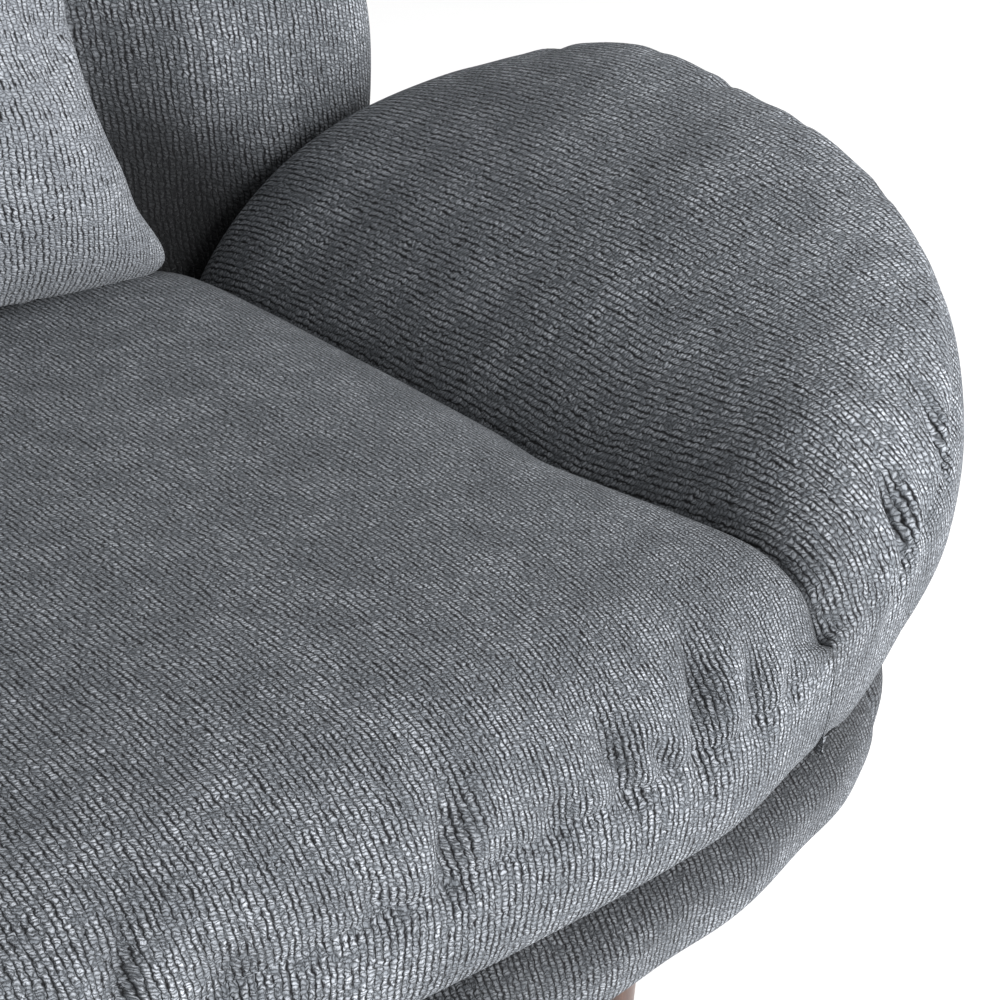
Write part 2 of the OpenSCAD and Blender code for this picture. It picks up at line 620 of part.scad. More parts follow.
// Lumbar pillow: knife edge, sides drawn in between the corners, leaning on the back cushion
pillow_lean = 12.5;
pillow_y = mid_y + 205.6;
pillow_z = crown_z - 15.8;
pillow_n = 44;
pillow_square = 6;
pillow_foot_waist = 14;
pillow_rings = [0.3, 0.55, 0.75, 0.89, 0.97];
function pillow_puff(s) = sqrt(1 - pow(s, 3));
function pull_in(p, half, waist) = half * (1 - waist / half * (1 - p * p));
function pillow_edge(a, s) = let (p = oval(a, 1, 1, 2 + (pillow_square - 2) * s * s))
  [p.x * pull_in(p.y * s, pillow_w / 2, pillow_waist * s) * s,
    p.y * pull_in(p.x * s, pillow_h / 2, pillow_foot_waist * s) * s];
function pillow_column(a) = concat(
  [for (s = pillow_rings) let (e = pillow_edge(a, s)) [e.x, pillow_front * pillow_puff(s), e.y]],
  [let (e = pillow_edge(a, 1)) [e.x, 0, e.y]],
  [for (i = [len(pillow_rings) - 1:-1:0]) let (s = pillow_rings[i], e = pillow_edge(a, s))
    [e.x, -pillow_rear * pillow_puff(s), e.y]]
);
module in_pillow() translate([0, pillow_y, pillow_z]) rotate([-pillow_lean, 0, 0])
  translate([0, 0, pillow_h / 2]) mirror([0, 1, 0]) children();
pillow_core = [[-pillow_w / 2 + 84, -pillow_rear + 16, -pillow_h / 2 + 74],
  [pillow_w / 2 - 84, pillow_front - 40, pillow_h / 2 - 74]];
module lumbar_pillow() color(cloth_light) set_down() in_pillow() difference() {
  column_form([0, pillow_front, 0], [for (i = [pillow_n:-1:1]) pillow_column(360 * i / pillow_n)],
    [0, -pillow_rear, 0]);
  block(pillow_core, gap);
}
module pillow_fill() color(foam) set_down() in_pillow() block(pillow_core, 0);

// Helpers
module block(c, grow) translate(c[0] - [grow, grow, grow]) cube(c[1] - c[0] + 2 * [grow, grow, grow]);
front_y = mid_y - front_d - band_swell;
rear_y = max([for (c = shell_cols) for (p = c) leaned(p).y]);
module set_down() translate([0, -(front_y + rear_y) / 2, 0]) children();

leg_front_left();
leg_front_right();
leg_rear_left();
leg_rear_right();
leg_glides();
leg_studs();
tee_nuts();
leg_blocks();
front_rail();
rear_rail();
side_rail_left();
side_rail_right();
corner_blocks();
deck_board_front();
deck_board_rear();
deck_board_left();
deck_board_right();
rail_screws();
seat_springs();
spring_clips();
spring_pad();
deck_cover();
dust_cover();
tier_panel_front();
tier_panel_rear();
tier_panel_left();
tier_panel_right();
arm_board_left();
arm_board_right();
side_panel_left();
side_panel_right();
arm_cushion_left();
arm_cushion_right();
arm_foam_left();
arm_foam_right();
seat_cushion();
seat_foam();
back_post_left();
back_post_right();
back_top_rail();
back_lower_rail();
back_springs();
back_clips();
back_bolts();
back_cushion();
back_foam();
outside_back();
back_border_left();
back_border_right();
back_border_top();
lumbar_pillow();
pillow_fill();
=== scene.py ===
"""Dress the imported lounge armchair: stuffed covers in ribbed chenille, timber, steel, studio and camera.

Lengths are millimetres, as in the part's source, and turn into metres where a mesh is made.
"""

import json
import logging
import math
from dataclasses import dataclass, field
from enum import Enum
from typing import Callable, Sequence

import bmesh
import bpy
import numpy as np
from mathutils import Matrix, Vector

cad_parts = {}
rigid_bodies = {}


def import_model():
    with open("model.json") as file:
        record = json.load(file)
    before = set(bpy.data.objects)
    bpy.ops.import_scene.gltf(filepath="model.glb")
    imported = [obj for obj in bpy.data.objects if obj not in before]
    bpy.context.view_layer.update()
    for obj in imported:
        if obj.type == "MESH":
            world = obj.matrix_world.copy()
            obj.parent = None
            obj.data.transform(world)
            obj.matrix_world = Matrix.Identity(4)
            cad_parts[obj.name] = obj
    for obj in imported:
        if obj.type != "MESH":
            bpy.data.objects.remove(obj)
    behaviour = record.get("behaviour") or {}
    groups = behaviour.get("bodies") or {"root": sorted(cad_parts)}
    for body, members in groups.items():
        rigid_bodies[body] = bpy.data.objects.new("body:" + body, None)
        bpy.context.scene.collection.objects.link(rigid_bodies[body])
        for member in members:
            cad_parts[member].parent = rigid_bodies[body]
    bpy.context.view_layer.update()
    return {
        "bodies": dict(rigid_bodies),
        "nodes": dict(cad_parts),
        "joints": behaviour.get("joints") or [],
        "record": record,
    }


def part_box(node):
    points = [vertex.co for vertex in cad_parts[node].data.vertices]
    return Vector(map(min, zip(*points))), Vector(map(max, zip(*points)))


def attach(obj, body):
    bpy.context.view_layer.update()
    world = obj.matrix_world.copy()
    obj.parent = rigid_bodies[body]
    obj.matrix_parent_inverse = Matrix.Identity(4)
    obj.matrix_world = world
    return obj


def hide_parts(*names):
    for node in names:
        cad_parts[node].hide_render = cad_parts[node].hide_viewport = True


LOG = logging.getLogger("armchair")
MM = 0.001
WAVE_COUNT = 24
Array = np.ndarray


# Small helpers


def srgb(code: str) -> tuple[float, float, float, float]:
    """Turn a hex colour as the eye reads it into Blender's linear colour.

    Args:
        code: Colour such as "#6f747b".

    Returns:
        Linear red, green, blue and an alpha of 1.
    """
    parts = [int(code[i : i + 2], 16) / 255 for i in (1, 3, 5)]
    linear = [c / 12.92 if c <= 0.04045 else ((c + 0.055) / 1.055) ** 2.4 for c in parts]
    return (linear[0], linear[1], linear[2], 1.0)


def smooth(t: Array | float) -> Array:
    """Ease from 0 to 1 with flat ends."""
    c = np.clip(t, 0.0, 1.0)
    return c * c * (3 - 2 * c)


def bell(d: Array, width: Array | float, power: float = 2) -> Array:
    """Bell curve that is 1 at distance 0 and fades over a width."""
    return np.exp(-((d / width) ** power))


def keep_sign(v: Array, p: Array | float) -> Array:
    """Raise a value's size to a power and keep its sign."""
    return np.sign(v) * np.abs(v) ** p


def round_in(d: Array, depth: float) -> Array:
    """Rise on a quarter circle from 0 at an edge to 1 at the given depth."""
    e = 1 - np.clip(np.asarray(d) / depth, 0.0, 1.0)
    return np.sqrt(1 - e * e)


def unit(v: Array) -> Array:
    """Scale vectors in the last axis to length 1."""
    return v / np.maximum(np.linalg.norm(v, axis=-1, keepdims=True), 1e-12)


def join(*parts: Array | float) -> Array:
    """Put coordinates side by side in a new last axis."""
    return np.stack(np.broadcast_arrays(*parts), -1)


def raised(plan: Array, height: Array | float) -> Array:
    """Give plan places their heights."""
    return join(plan[..., 0], plan[..., 1], height)


def from_ends(s: Array) -> Array:
    """Distance from the nearer end of a run."""
    return np.minimum(s - s[0], s[-1] - s)


def run_length(points: Array, axis: int) -> Array:
    """Length walked along one axis of a point grid.

    Args:
        points: Grid of points, its last axis the coordinates.
        axis: Grid axis that is walked.

    Returns:
        Distance from the first point along that axis, one value for each point.
    """
    steps = np.linalg.norm(np.diff(points, axis=axis), axis=-1)
    start = np.zeros_like(np.take(steps, [0], axis=axis))
    return np.concatenate([start, np.cumsum(steps, axis=axis)], axis=axis)


def waves(x: Array, y: Array, seed: int, size: float) -> Array:
    """Soft random unevenness of stuffed cloth, as a sum of plane waves.

    Args:
        x: First coordinate in millimetres.
        y: Second coordinate in millimetres.
        seed: Number that fixes the pattern.
        size: Typical width of a bump in millimetres.

    Returns:
        Values of about -1 to 1.
    """
    rng = np.random.default_rng(seed)
    total = np.zeros(np.broadcast(x, y).shape)
    for _ in range(WAVE_COUNT):
        turn, phase = rng.uniform(0, 2 * math.pi, 2)
        k = 2 * math.pi / (size * rng.uniform(1.4, 3.4))
        total += np.sin(k * (np.cos(turn) * x + np.sin(turn) * y) + phase)
    return total / math.sqrt(WAVE_COUNT / 2) / 1.6


def through(knots: Sequence[tuple[float, ...]], count: int) -> Array:
    """Smooth curve through knots, with rounded passages.

    Args:
        knots: Points in two or three coordinates.
        count: Points on each stretch.

    Returns:
        Points of the curve, in the knots' coordinates.
    """
    k = np.array(knots, float)
    k = np.concatenate([[2 * k[0] - k[1]], k, [2 * k[-1] - k[-2]]])
    t = np.linspace(0, 1, count, endpoint=False)[:, None]
    out = []
    for i in range(1, len(k) - 2):
        p0, p1, p2, p3 = k[i - 1 : i + 3]
        bend, twist = 2 * p0 - 5 * p1 + 4 * p2 - p3, 3 * p1 - p0 - 3 * p2 + p3
        out.append(0.5 * (2 * p1 + (p2 - p0) * t + bend * t**2 + twist * t**3))
    return np.concatenate([*out, k[-2][None]])


# Finishes


def node(tree: bpy.types.NodeTree, kind: str, sockets: dict | None = None, **settings) -> bpy.types.Node:
    """Add a shader node with its settings and links.

    Args:
        tree: Node tree that gets the node.
        kind: Blender's name of the node type, without its first word.
        sockets: Input name or number to a value, or to an output or a node's main output, which is linked.
        **settings: Properties of the node.

    Returns:
        The new node.
    """
    made = tree.nodes.new(f"ShaderNode{kind}")
    for key, value in settings.items():
        setattr(made, key, value)
    for key, value in (sockets or {}).items():
        if isinstance(value, bpy.types.Node):
            value = next(output for output in value.outputs if output.enabled)
        if isinstance(value, bpy.types.NodeSocket):
            tree.links.new(value, made.inputs[key])
        else:
            made.inputs[key].default_value = value
    return made


@dataclass(frozen=True)
class Finish:
    """A named finish, whose kind lays the pattern and says what the shader gets."""

    name: str

    def pattern(self, tree: bpy.types.NodeTree) -> dict:
        """Lay the pattern's nodes, and give the shader's inputs."""
        raise NotImplementedError

    def material(self) -> bpy.types.Material:
        """Make the material from its pattern.

        Returns:
            The finished material.
        """
        made = bpy.data.materials.new(self.name)
        made.use_nodes = True
        tree = made.node_tree
        tree.nodes.clear()
        shader = node(tree, "BsdfPrincipled", self.pattern(tree))
        node(tree, "OutputMaterial", {"Surface": shader})
        return made


@dataclass(frozen=True)
class RibbedChenille(Finish):
    """Ribbed chenille, knitted and brushed: matt tufts stacked in wales, near-black painted shade in the
    grooves and cracks, pale tips with a painted highlight on each tuft's crown.
    """

    tuft: str = "#5e6267"
    # Paler fibre tips, with a painted highlight on each tuft's crown
    tip: str = "#9a9ea4"
    # Near-black painted shade in the grooves between wales and the cracks between tufts
    gap: str = "#08080a"
    wale: float = 3.7
    tuft_length: float = 1.9
    height: float = 1.7
    sheen: float = 0.08
    groove: float = 0.34

    # Width of each kind of soft patch in millimetres, and how many finer layers it has
    PATCHES = ((40, 1), (34, 3), (7, 1), (6, 1), (2.4, 1), (0.6, 1))
    # How far the patches of a width shift the cloth, in wales across and tufts along
    WANDER = ((40, 0.8, 2.0), (6, 0.5, 1.2), (2.4, 0.5, 0.8))

    def wandering(self, tree: bpy.types.NodeTree, weave: bpy.types.Node, patches: dict) -> bpy.types.Node:
        """Count wales and tufts along the cloth: wales drift over 40 mm and jog from tuft to tuft.

        Args:
            tree: The cloth's node tree.
            weave: The piece's own weave map, in metres.
            patches: Noise by the width of its patches.

        Returns:
            Place in wales across and tufts along.
        """
        scale = (1 / (self.wale * MM), 1 / (self.tuft_length * MM), 1.0)
        moved = node(tree, "VectorMath", {0: weave, 1: scale}, operation="MULTIPLY")
        for width, across, along in self.WANDER:
            noise = patches[width].outputs["Color"]
            centred = node(tree, "VectorMath", {0: noise, 1: (0.5, 0.5, 0.5)}, operation="SUBTRACT")
            sized = node(tree, "VectorMath", {0: centred, 1: (across, along, 0.0)}, operation="MULTIPLY")
            moved = node(tree, "VectorMath", {0: moved, 1: sized}, operation="ADD")
        return moved

    def pattern(self, tree: bpy.types.NodeTree) -> dict:
        """Lay tufts on the piece's own weave map, u across the wales and v along them.

        Args:
            tree: The cloth's node tree.

        Returns:
            Inputs of the shader.
        """
        weave = node(tree, "UVMap", uv_map="weave")
        patches = {}
        for width, detail in self.PATCHES:
            sockets = {"Vector": weave, "Scale": 1 / (width * MM), "Detail": detail}
            patches[width] = node(tree, "TexNoise", sockets, noise_dimensions="2D")
        across, along = node(tree, "SeparateXYZ", {0: self.wandering(tree, weave, patches)}).outputs[:2]
        # Tufts lie across their wale at a slant, each over half a tuft further than its neighbour
        slanted = node(tree, "Math", {0: across, 1: 0.6, 2: along}, operation="MULTIPLY_ADD")
        place = node(tree, "CombineXYZ", {0: across, 1: slanted})
        cell = {"Vector": place, "Scale": 1.0, "Randomness": 0.7}
        edge = node(tree, "TexVoronoi", cell, voronoi_dimensions="2D", feature="DISTANCE_TO_EDGE")
        own = node(tree, "TexVoronoi", cell, voronoi_dimensions="2D")
        dome = node(tree, "MapRange", {0: own, 1: 0.72, 2: 0.1}, interpolation_type="SMOOTHSTEP")
        # Painted shade in the cracks between tufts
        crack_shade = node(tree, "MapRange", {0: edge, 1: 0.02, 2: 0.2, 3: 0.3})
        from_gap = node(tree, "Math", {0: across, 1: 0.5}, operation="PINGPONG")
        bridged = patches[7]
        width = node(tree, "MapRange", {0: bridged, 1: 0.36, 2: 0.66, 3: 0.04, 4: self.groove})
        opened = node(tree, "MapRange", {0: from_gap, 1: 0.0, 2: width}, interpolation_type="SMOOTHSTEP")
        crest = node(tree, "MapRange", {0: from_gap, 1: 0.0, 2: 0.4}, interpolation_type="SMOOTHSTEP")
        pile = node(tree, "Math", {0: dome, 1: 0.7}, operation="MULTIPLY")
        pile = node(tree, "Math", {0: crest, 1: 0.3, 2: pile}, operation="MULTIPLY_ADD")
        low = node(tree, "Math", {0: opened, 1: 0.6, 2: 0.4}, operation="MULTIPLY_ADD")
        pile = node(tree, "Math", {0: pile, 1: low}, operation="MULTIPLY")
        # Single fibres of 0.6 mm break up the tufts
        relief = node(tree, "Math", {0: patches[0.6], 1: 0.2, 2: pile}, operation="MULTIPLY_ADD")
        # Pile that was pressed or brushed another way reads lighter or darker over 15 to 60 mm
        shade = node(tree, "MapRange", {0: patches[34], 1: 0.34, 2: 0.66, 3: 0.4, 4: 1.0})
        # Neighbouring tufts took the dye alike over some 7 mm, which gives the heathered look
        dye = node(tree, "SeparateColor", {0: own.outputs["Color"]})
        dye = node(tree, "Math", {0: dye, 1: 0.6, 2: -0.75}, operation="MULTIPLY_ADD")
        dye = node(tree, "Math", {0: bridged, 1: 2.2, 2: dye}, operation="MULTIPLY_ADD")
        bright = node(tree, "Math", {0: shade, 1: dye}, operation="MULTIPLY")
        # Paler fibre tips, and a painted highlight that lightens each tuft's crown and darkens its edge
        tip_and_highlight = node(tree, "Math", {0: dome, 1: 0.7, 2: 0.3}, operation="MULTIPLY_ADD")
        tip_and_highlight = node(tree, "Math", {0: bright, 1: tip_and_highlight}, operation="MULTIPLY")
        body = node(tree, "Mix", {0: tip_and_highlight, 6: srgb(self.tuft), 7: srgb(self.tip)}, data_type="RGBA")
        # Painted shade in creases, folds, pockets and under the band, and painted highlights along seams and
        # rounded edges, come from a point attribute of the skin
        painted_light = node(tree, "Attribute", attribute_name="painted_light").outputs["Fac"]
        body = node(tree, "Mix", {0: 1.0, 6: body, 7: painted_light}, data_type="RGBA", blend_type="MULTIPLY")
        # The near-black gap colour paints shade into the grooves and the cracks
        shown = node(tree, "Math", {0: opened, 1: crack_shade}, operation="MULTIPLY")
        return {
            "Base Color": node(tree, "Mix", {0: shown, 6: srgb(self.gap), 7: body}, data_type="RGBA"),
            "Normal": node(tree, "Bump", {"Height": relief, "Strength": 1.0, "Distance": self.height * MM}),
            "Roughness": 0.95,
            "Specular IOR Level": 0.2,
            "Sheen Weight": self.sheen,
            "Sheen Roughness": 0.4,
            "Sheen Tint": srgb("#e0e3e8"),
        }


@dataclass(frozen=True)
class Timber(Finish):
    """Planed or turned hardwood: long grain, fine pores and a satin or raw surface."""

    light: str
    dark: str
    roughness: float
    along: int = 2
    ring: float = 9.0
    coat: float = 0.0

    def pattern(self, tree: bpy.types.NodeTree) -> dict:
        """Lay grain that runs along one axis of the row.

        Args:
            tree: The timber's node tree.

        Returns:
            Inputs of the shader.
        """
        stretch = [1 / (self.ring * MM)] * 3
        stretch[self.along] /= 14
        place = node(tree, "TexCoord").outputs["Object"]
        place = node(tree, "VectorMath", {0: place, 1: tuple(stretch)}, operation="MULTIPLY")
        rings = node(tree, "TexNoise", {"Vector": place, "Scale": 1.0, "Detail": 5.0})
        pores = node(tree, "TexNoise", {"Vector": place, "Scale": 9.0, "Detail": 2.0})
        bands = node(tree, "MapRange", {0: rings, 1: 0.35, 2: 0.65})
        body = node(tree, "Mix", {0: bands, 6: srgb(self.light), 7: srgb(self.dark)}, data_type="RGBA")
        line = node(tree, "MapRange", {0: pores, 1: 0.3, 2: 0.45})
        return {
            "Base Color": node(tree, "Mix", {0: line, 6: srgb(self.dark), 7: body}, data_type="RGBA"),
            "Normal": node(tree, "Bump", {"Height": pores, "Strength": 0.35, "Distance": 0.3 * MM}),
            "Roughness": self.roughness,
            "Coat Weight": self.coat,
            "Coat Roughness": 0.3,
        }


@dataclass(frozen=True)
class BirchPly(Finish):
    """Birch plywood: 1.5 mm plies show on the edges; stained black, so that no pale edge shows in a gap."""

    light: str = "#37332f"
    dark: str = "#1d1a18"
    ply: float = 1.5
    grain_length: float = 83.3
    grain_width: float = 6.25

    def pattern(self, tree: bpy.types.NodeTree) -> dict:
        """Lay plies stacked along the row's height.

        Args:
            tree: The plywood's node tree.

        Returns:
            Inputs of the shader.
        """
        place = node(tree, "TexCoord").outputs["Object"]
        height = node(tree, "SeparateXYZ", {0: place}).outputs["Z"]
        ply = node(tree, "Math", {0: height, 1: self.ply * MM}, operation="PINGPONG")
        edge = node(tree, "MapRange", {0: ply, 1: 0.0, 2: self.ply * MM})
        scale = tuple(1 / (size * MM) for size in (self.grain_length, self.grain_width, self.grain_width))
        place = node(tree, "VectorMath", {0: place, 1: scale}, operation="MULTIPLY")
        grain = node(tree, "TexNoise", {"Vector": place, "Scale": 1.0, "Detail": 4.0})
        share = node(tree, "Math", {0: edge, 1: grain}, operation="MULTIPLY")
        body = node(tree, "Mix", {0: share, 6: srgb(self.light), 7: srgb(self.dark)}, data_type="RGBA")
        return {"Base Color": body, "Roughness": 0.6}


@dataclass(frozen=True)
class ClusteredSurface(Finish):
    """A plain surface with soft clusters that are paler, and duller too where a gloss is given."""

    dark: str
    light: str
    cluster: float
    gloss: tuple[float, float] = (0.9, 0.9)
    metallic: float = 0.0
    detail: float = 3.0

    def pattern(self, tree: bpy.types.NodeTree) -> dict:
        """Lay the clusters through the piece.

        Args:
            tree: The material's node tree.

        Returns:
            Inputs of the shader.
        """
        place = node(tree, "TexCoord").outputs["Object"]
        sockets = {"Vector": place, "Scale": 1 / (self.cluster * MM), "Detail": self.detail}
        cloud = node(tree, "TexNoise", sockets)
        rough, rougher = self.gloss
        if rough < rougher:
            rough = node(tree, "MapRange", {0: cloud, 1: 0.3, 2: 0.7, 3: rough, 4: rougher})
        body = node(tree, "Mix", {0: cloud, 6: srgb(self.dark), 7: srgb(self.light)}, data_type="RGBA")
        return {"Base Color": body, "Roughness": rough, "Metallic": self.metallic}


@dataclass(frozen=True)
class FeltLining(Finish):
    """Spun-bonded lining or needle felt: flat, matt, with fused dimples 1.2 mm apart."""

    tint: str = "#2c2e32"
    fleck: str = "#44474c"
    dimple: float = 1.2
    fleck_size: float = 3.333

    def pattern(self, tree: bpy.types.NodeTree) -> dict:
        """Lay the dimples and the flecks.

        Args:
            tree: The lining's node tree.

        Returns:
            Inputs of the shader.
        """
        place = node(tree, "TexCoord").outputs["Object"]
        dimples = {"Vector": place, "Scale": 1 / (self.dimple * MM), "Randomness": 0.15}
        flecks = {"Vector": place, "Scale": 1 / (self.fleck_size * MM), "Detail": 3.0}
        dots = node(tree, "TexVoronoi", dimples)
        share = node(tree, "TexNoise", flecks)
        body = node(tree, "Mix", {0: share, 6: srgb(self.tint), 7: srgb(self.fleck)}, data_type="RGBA")
        return {
            "Base Color": body,
            "Normal": node(tree, "Bump", {"Height": dots, "Strength": 0.5, "Distance": 0.3 * MM}),
            "Roughness": 0.9,
        }


# Mesh making


def close_ends(piece: bpy.types.Object) -> None:
    """Close the hidden ends of a skin with flat faces and a sharp edge."""
    work = bmesh.new()
    work.from_mesh(piece.data)
    rim = [e for e in work.edges if e.is_boundary]
    made = bmesh.ops.holes_fill(work, edges=rim, sides=0)["faces"]
    for face in made:
        face.smooth = False
        for edge in face.edges:
            edge.smooth = False
    bmesh.ops.triangulate(work, faces=made)
    bmesh.ops.recalc_face_normals(work, faces=work.faces)
    work.to_mesh(piece.data)
    work.free()


class Skin:
    """A closed skin made from point grids that are welded where their borders meet."""

    # Points nearer than this, in millimetres, become one
    WELD = 0.05

    def __init__(self, name: str) -> None:
        """Start an empty skin with the piece's name."""
        self.name = name
        self.points: list[Array] = []
        self.weave: list[Array] = []
        self.painted_light: list[Array] = []
        self.faces: list[Array] = []
        self.count = 0

    def add(self, points: Array, weave: Array, flip: bool = False, painted_light: Array | float = 1.0) -> "Skin":
        """Add one grid of quads.

        Args:
            points: Rows by columns by 3, in millimetres.
            weave: Rows by columns by 2, the cloth's own place in millimetres.
            flip: Turn the faces over.
            painted_light: Factor on the colour, below 1 for painted shade in creases, folds and pockets and
                above 1 for a painted highlight along seams and edges.

        Returns:
            The skin itself.
        """
        rows, cols = points.shape[:2]
        index = np.arange(rows * cols).reshape(rows, cols) + self.count
        quads = np.stack([index[:-1, :-1], index[1:, :-1], index[1:, 1:], index[:-1, 1:]], -1).reshape(-1, 4)
        self.faces.append(quads[:, ::-1] if flip else quads)
        self.points.append(points.reshape(-1, 3))
        self.weave.append(weave.reshape(-1, 2))
        self.painted_light.append(np.broadcast_to(painted_light, (rows, cols)).ravel())
        self.count += rows * cols
        return self

    def build(self, finish: bpy.types.Material) -> bpy.types.Object:
        """Make the object, weld it, give it its finish and close its ends.

        Args:
            finish: Material of the whole skin.

        Returns:
            The new object, at the origin.
        """
        points = np.concatenate(self.points) * MM
        weave = np.concatenate(self.weave) * MM
        faces = np.concatenate(self.faces)
        mesh = bpy.data.meshes.new(self.name)
        mesh.from_pydata(points.tolist(), [], faces.tolist())
        layer = mesh.uv_layers.new(name="weave")
        layer.data.foreach_set("uv", weave[faces.reshape(-1)].astype(np.float32).ravel())
        painted_light = mesh.attributes.new("painted_light", "FLOAT", "POINT")
        painted_light.data.foreach_set("value", np.concatenate(self.painted_light).astype(np.float32))
        work = bmesh.new()
        work.from_mesh(mesh)
        bmesh.ops.remove_doubles(work, verts=work.verts, dist=self.WELD * MM)
        bmesh.ops.dissolve_degenerate(work, edges=work.edges, dist=self.WELD * MM * 0.2)
        work.to_mesh(mesh)
        work.free()
        mesh.materials.append(finish)
        mesh.shade_smooth()
        made = bpy.data.objects.new(self.name, mesh)
        bpy.context.scene.collection.objects.link(made)
        close_ends(made)
        return made


def normals_of(points: Array) -> Array:
    """Unit normals of a point grid, by the right hand from rows to columns."""
    return unit(np.cross(np.gradient(points, axis=0), np.gradient(points, axis=1)))


def draw_in(points: Array, depth: Array) -> Array:
    """Draw a cover in by a depth along its normals, which point inwards."""
    return points + normals_of(points) * depth[..., None]


# The shape that seat, arms and tier share


class Side(Enum):
    """The chair's two sides."""

    LEFT = -1
    RIGHT = 1

    @property
    def word(self) -> str:
        """The side as it stands in a piece's name."""
        return self.name.lower()

    @property
    def mirror(self) -> Array:
        """Factors that turn a form of the right side into this side's."""
        return np.array([self.value, 1, 1])


# The crease as read off the photo: distance behind its front end, height over a plain roll
CREASE_SAG = (
    (0, 0), (5, -9), (10, -14), (15, -7), (21, 1), (32, 4.5), (60, 6), (100, 1.5), (150, -6), (200, -11),
    (250, -7), (320, -5), (420, -4), (600, -4),
)
# The band's section: share of its swell, share of its height below the seam
BAND = ((0.0, 0.0), (0.7, 0.18), (1.0, 0.48), (0.75, 0.78), (-0.3, 0.97), (-1.6, 1.07))
# How far the band's wales lean along it, and where its cloth starts on the weave map
BAND_LEAN = 0.18
BAND_FROM = 700


@dataclass
class Outline:
    """Plan and heights that seat, arms and tier share, with the part's own sizes."""

    half_w: float = 502
    flare: float = 15
    front_d: float = 342
    squareness: float = 3.07
    mid_y: float = 12
    soft_z: float = 259.5
    seam_h: float = 74
    band_h: float = 66
    band_swell: float = 12
    corner_flat: float = 10
    corner_from: float = 180
    corner_over: float = 110
    corner_to: float = 335
    corner_fade: float = 90
    corner_gone: float = 0.9
    tuck_in: float = 4
    tuck_over: float = 160
    tuck_to: float = 480
    tuck_fade: float = 150
    tight_at: float = 285
    tight_w: float = 60
    tight_by: float = 5
    rim_rise: float = 187
    rear_drop: float = 0.5
    rise_from: float = -79
    rise_to: float = 21
    fall_from: float = -1
    fall_to: float = 74
    crease_h: float = 113
    crease_roll: float = 60
    crease_end: float = -66
    crease_pace: float = 1.2
    arm_end: float = 48
    arm_roll: float = 60
    arm_dip: float = 26
    seat_rear_w: float = 195
    seat_rear_d: float = 242
    gap: float = 0.12
    end_draw: float = 5
    end_draw_w: float = 6
    shift_y: float = -111.279

    def __post_init__(self) -> None:
        """Work out the crease line and the length of the rim seam."""
        self.seam_z = self.soft_z + self.seam_h
        self.crease_z = self.soft_z + self.crease_h
        self.seat_rear_y = self.mid_y + self.seat_rear_d
        self.crease_a = np.array([self.seat_rear_w, self.seat_rear_y])
        self.crease_f = self.rim(self.crease_end)
        self.crease_dir = unit(self.crease_f - self.crease_a)
        self.crease_out = np.array([-self.crease_dir[1], self.crease_dir[0]])
        self.crease_len = float(np.linalg.norm(self.crease_f - self.crease_a))
        v = np.linspace(-1, 1, 1441)
        angles = 90 * np.sign(v) * smooth(np.abs(v))
        self.rim_table = (angles, run_length(raised(self.rim(angles), self.rim_z(angles)), 0))

    def lift(self, a: Array | float) -> Array:
        """Share of the arm's rise at an angle, -90 at the front and 0 at the side."""
        side = np.where(a < -90, -180 - a, a)
        rise = smooth((side - self.rise_from) / (self.rise_to - self.rise_from))
        fall = smooth((side - self.fall_from) / (self.fall_to - self.fall_from))
        return rise * (1 - self.rear_drop * fall)

    def oval(self, a: Array | float, rx: Array | float, ry: Array | float) -> Array:
        """Point of the squared ellipse of half width rx and half depth ry, at an angle in degrees."""
        r, power = np.radians(a), 2 / self.squareness
        return join(rx * keep_sign(np.cos(r), power), ry * keep_sign(np.sin(r), power))

    def oval_out(self, a: Array, rx: float, ry: float) -> Array:
        """Outward direction of the outline at an angle."""
        p = keep_sign(self.oval(a, 1, 1), self.squareness - 1)
        return unit(p / np.array([rx, ry]))

    def rim(self, a: Array | float) -> Array:
        """Plan place of the rim seam."""
        place = self.oval(a, self.half_w + self.flare * self.lift(a), self.front_d)
        return place + np.array([0, self.mid_y])

    def rim_out(self, a: Array) -> Array:
        """Outward direction of the rim seam in plan."""
        return self.oval_out(a, self.half_w, self.front_d)

    def rim_z(self, a: Array | float) -> Array:
        """Height of the rim seam."""
        return self.seam_z + self.rim_rise * self.lift(a)

    def rim_run(self, a: Array | float) -> Array:
        """Length of the rim seam from the front middle, negative to the left."""
        side = np.where(a < -90, -180 - a, a)
        return np.where(a < -90, -1, 1) * np.interp(side, *self.rim_table)

    def rim_angle(self, s: Array) -> Array:
        """Angle of a place on the front half of the rim, by its length from the front middle."""
        angles, run = self.rim_table
        a = np.interp(np.abs(s), run, angles)
        return np.where(s < 0, -180 - a, a)

    def wall_point(self, d: Array | float, side: Array | float, shift: float) -> Array:
        """Plan place on the crease, a distance behind its front end.

        Args:
            d: Distance from the front end.
            side: 1 for the right crease, -1 for the left one.
            shift: Distance away from the seat.

        Returns:
            Points, with x and y in the last axis.
        """
        q = self.crease_f - self.crease_dir * np.asarray(d)[..., None] + self.crease_out * shift
        return join(side * q[..., 0], q[..., 1])

    def from_crease(self, x: Array, y: Array) -> Array:
        """Plan distance from the crease on the same side, towards the seat's middle."""
        beside, ahead = self.crease_a[0] - np.abs(x), self.crease_a[1] - y
        return beside * self.crease_out[0] + ahead * self.crease_out[1]

    def crease_sag(self, d: Array) -> Array:
        """How far the crease leaves its plain roll: a notch at its front end, a puff, then a dip."""
        return np.interp(d, *through(CREASE_SAG, 16).T)

    def crease_height(self, d: Array) -> Array:
        """Height of the crease, which rolls down to the seam at its front end."""
        low = self.rim_z(self.crease_end)
        return low + (self.crease_z - low) * round_in(d, self.crease_roll) + self.crease_sag(d)

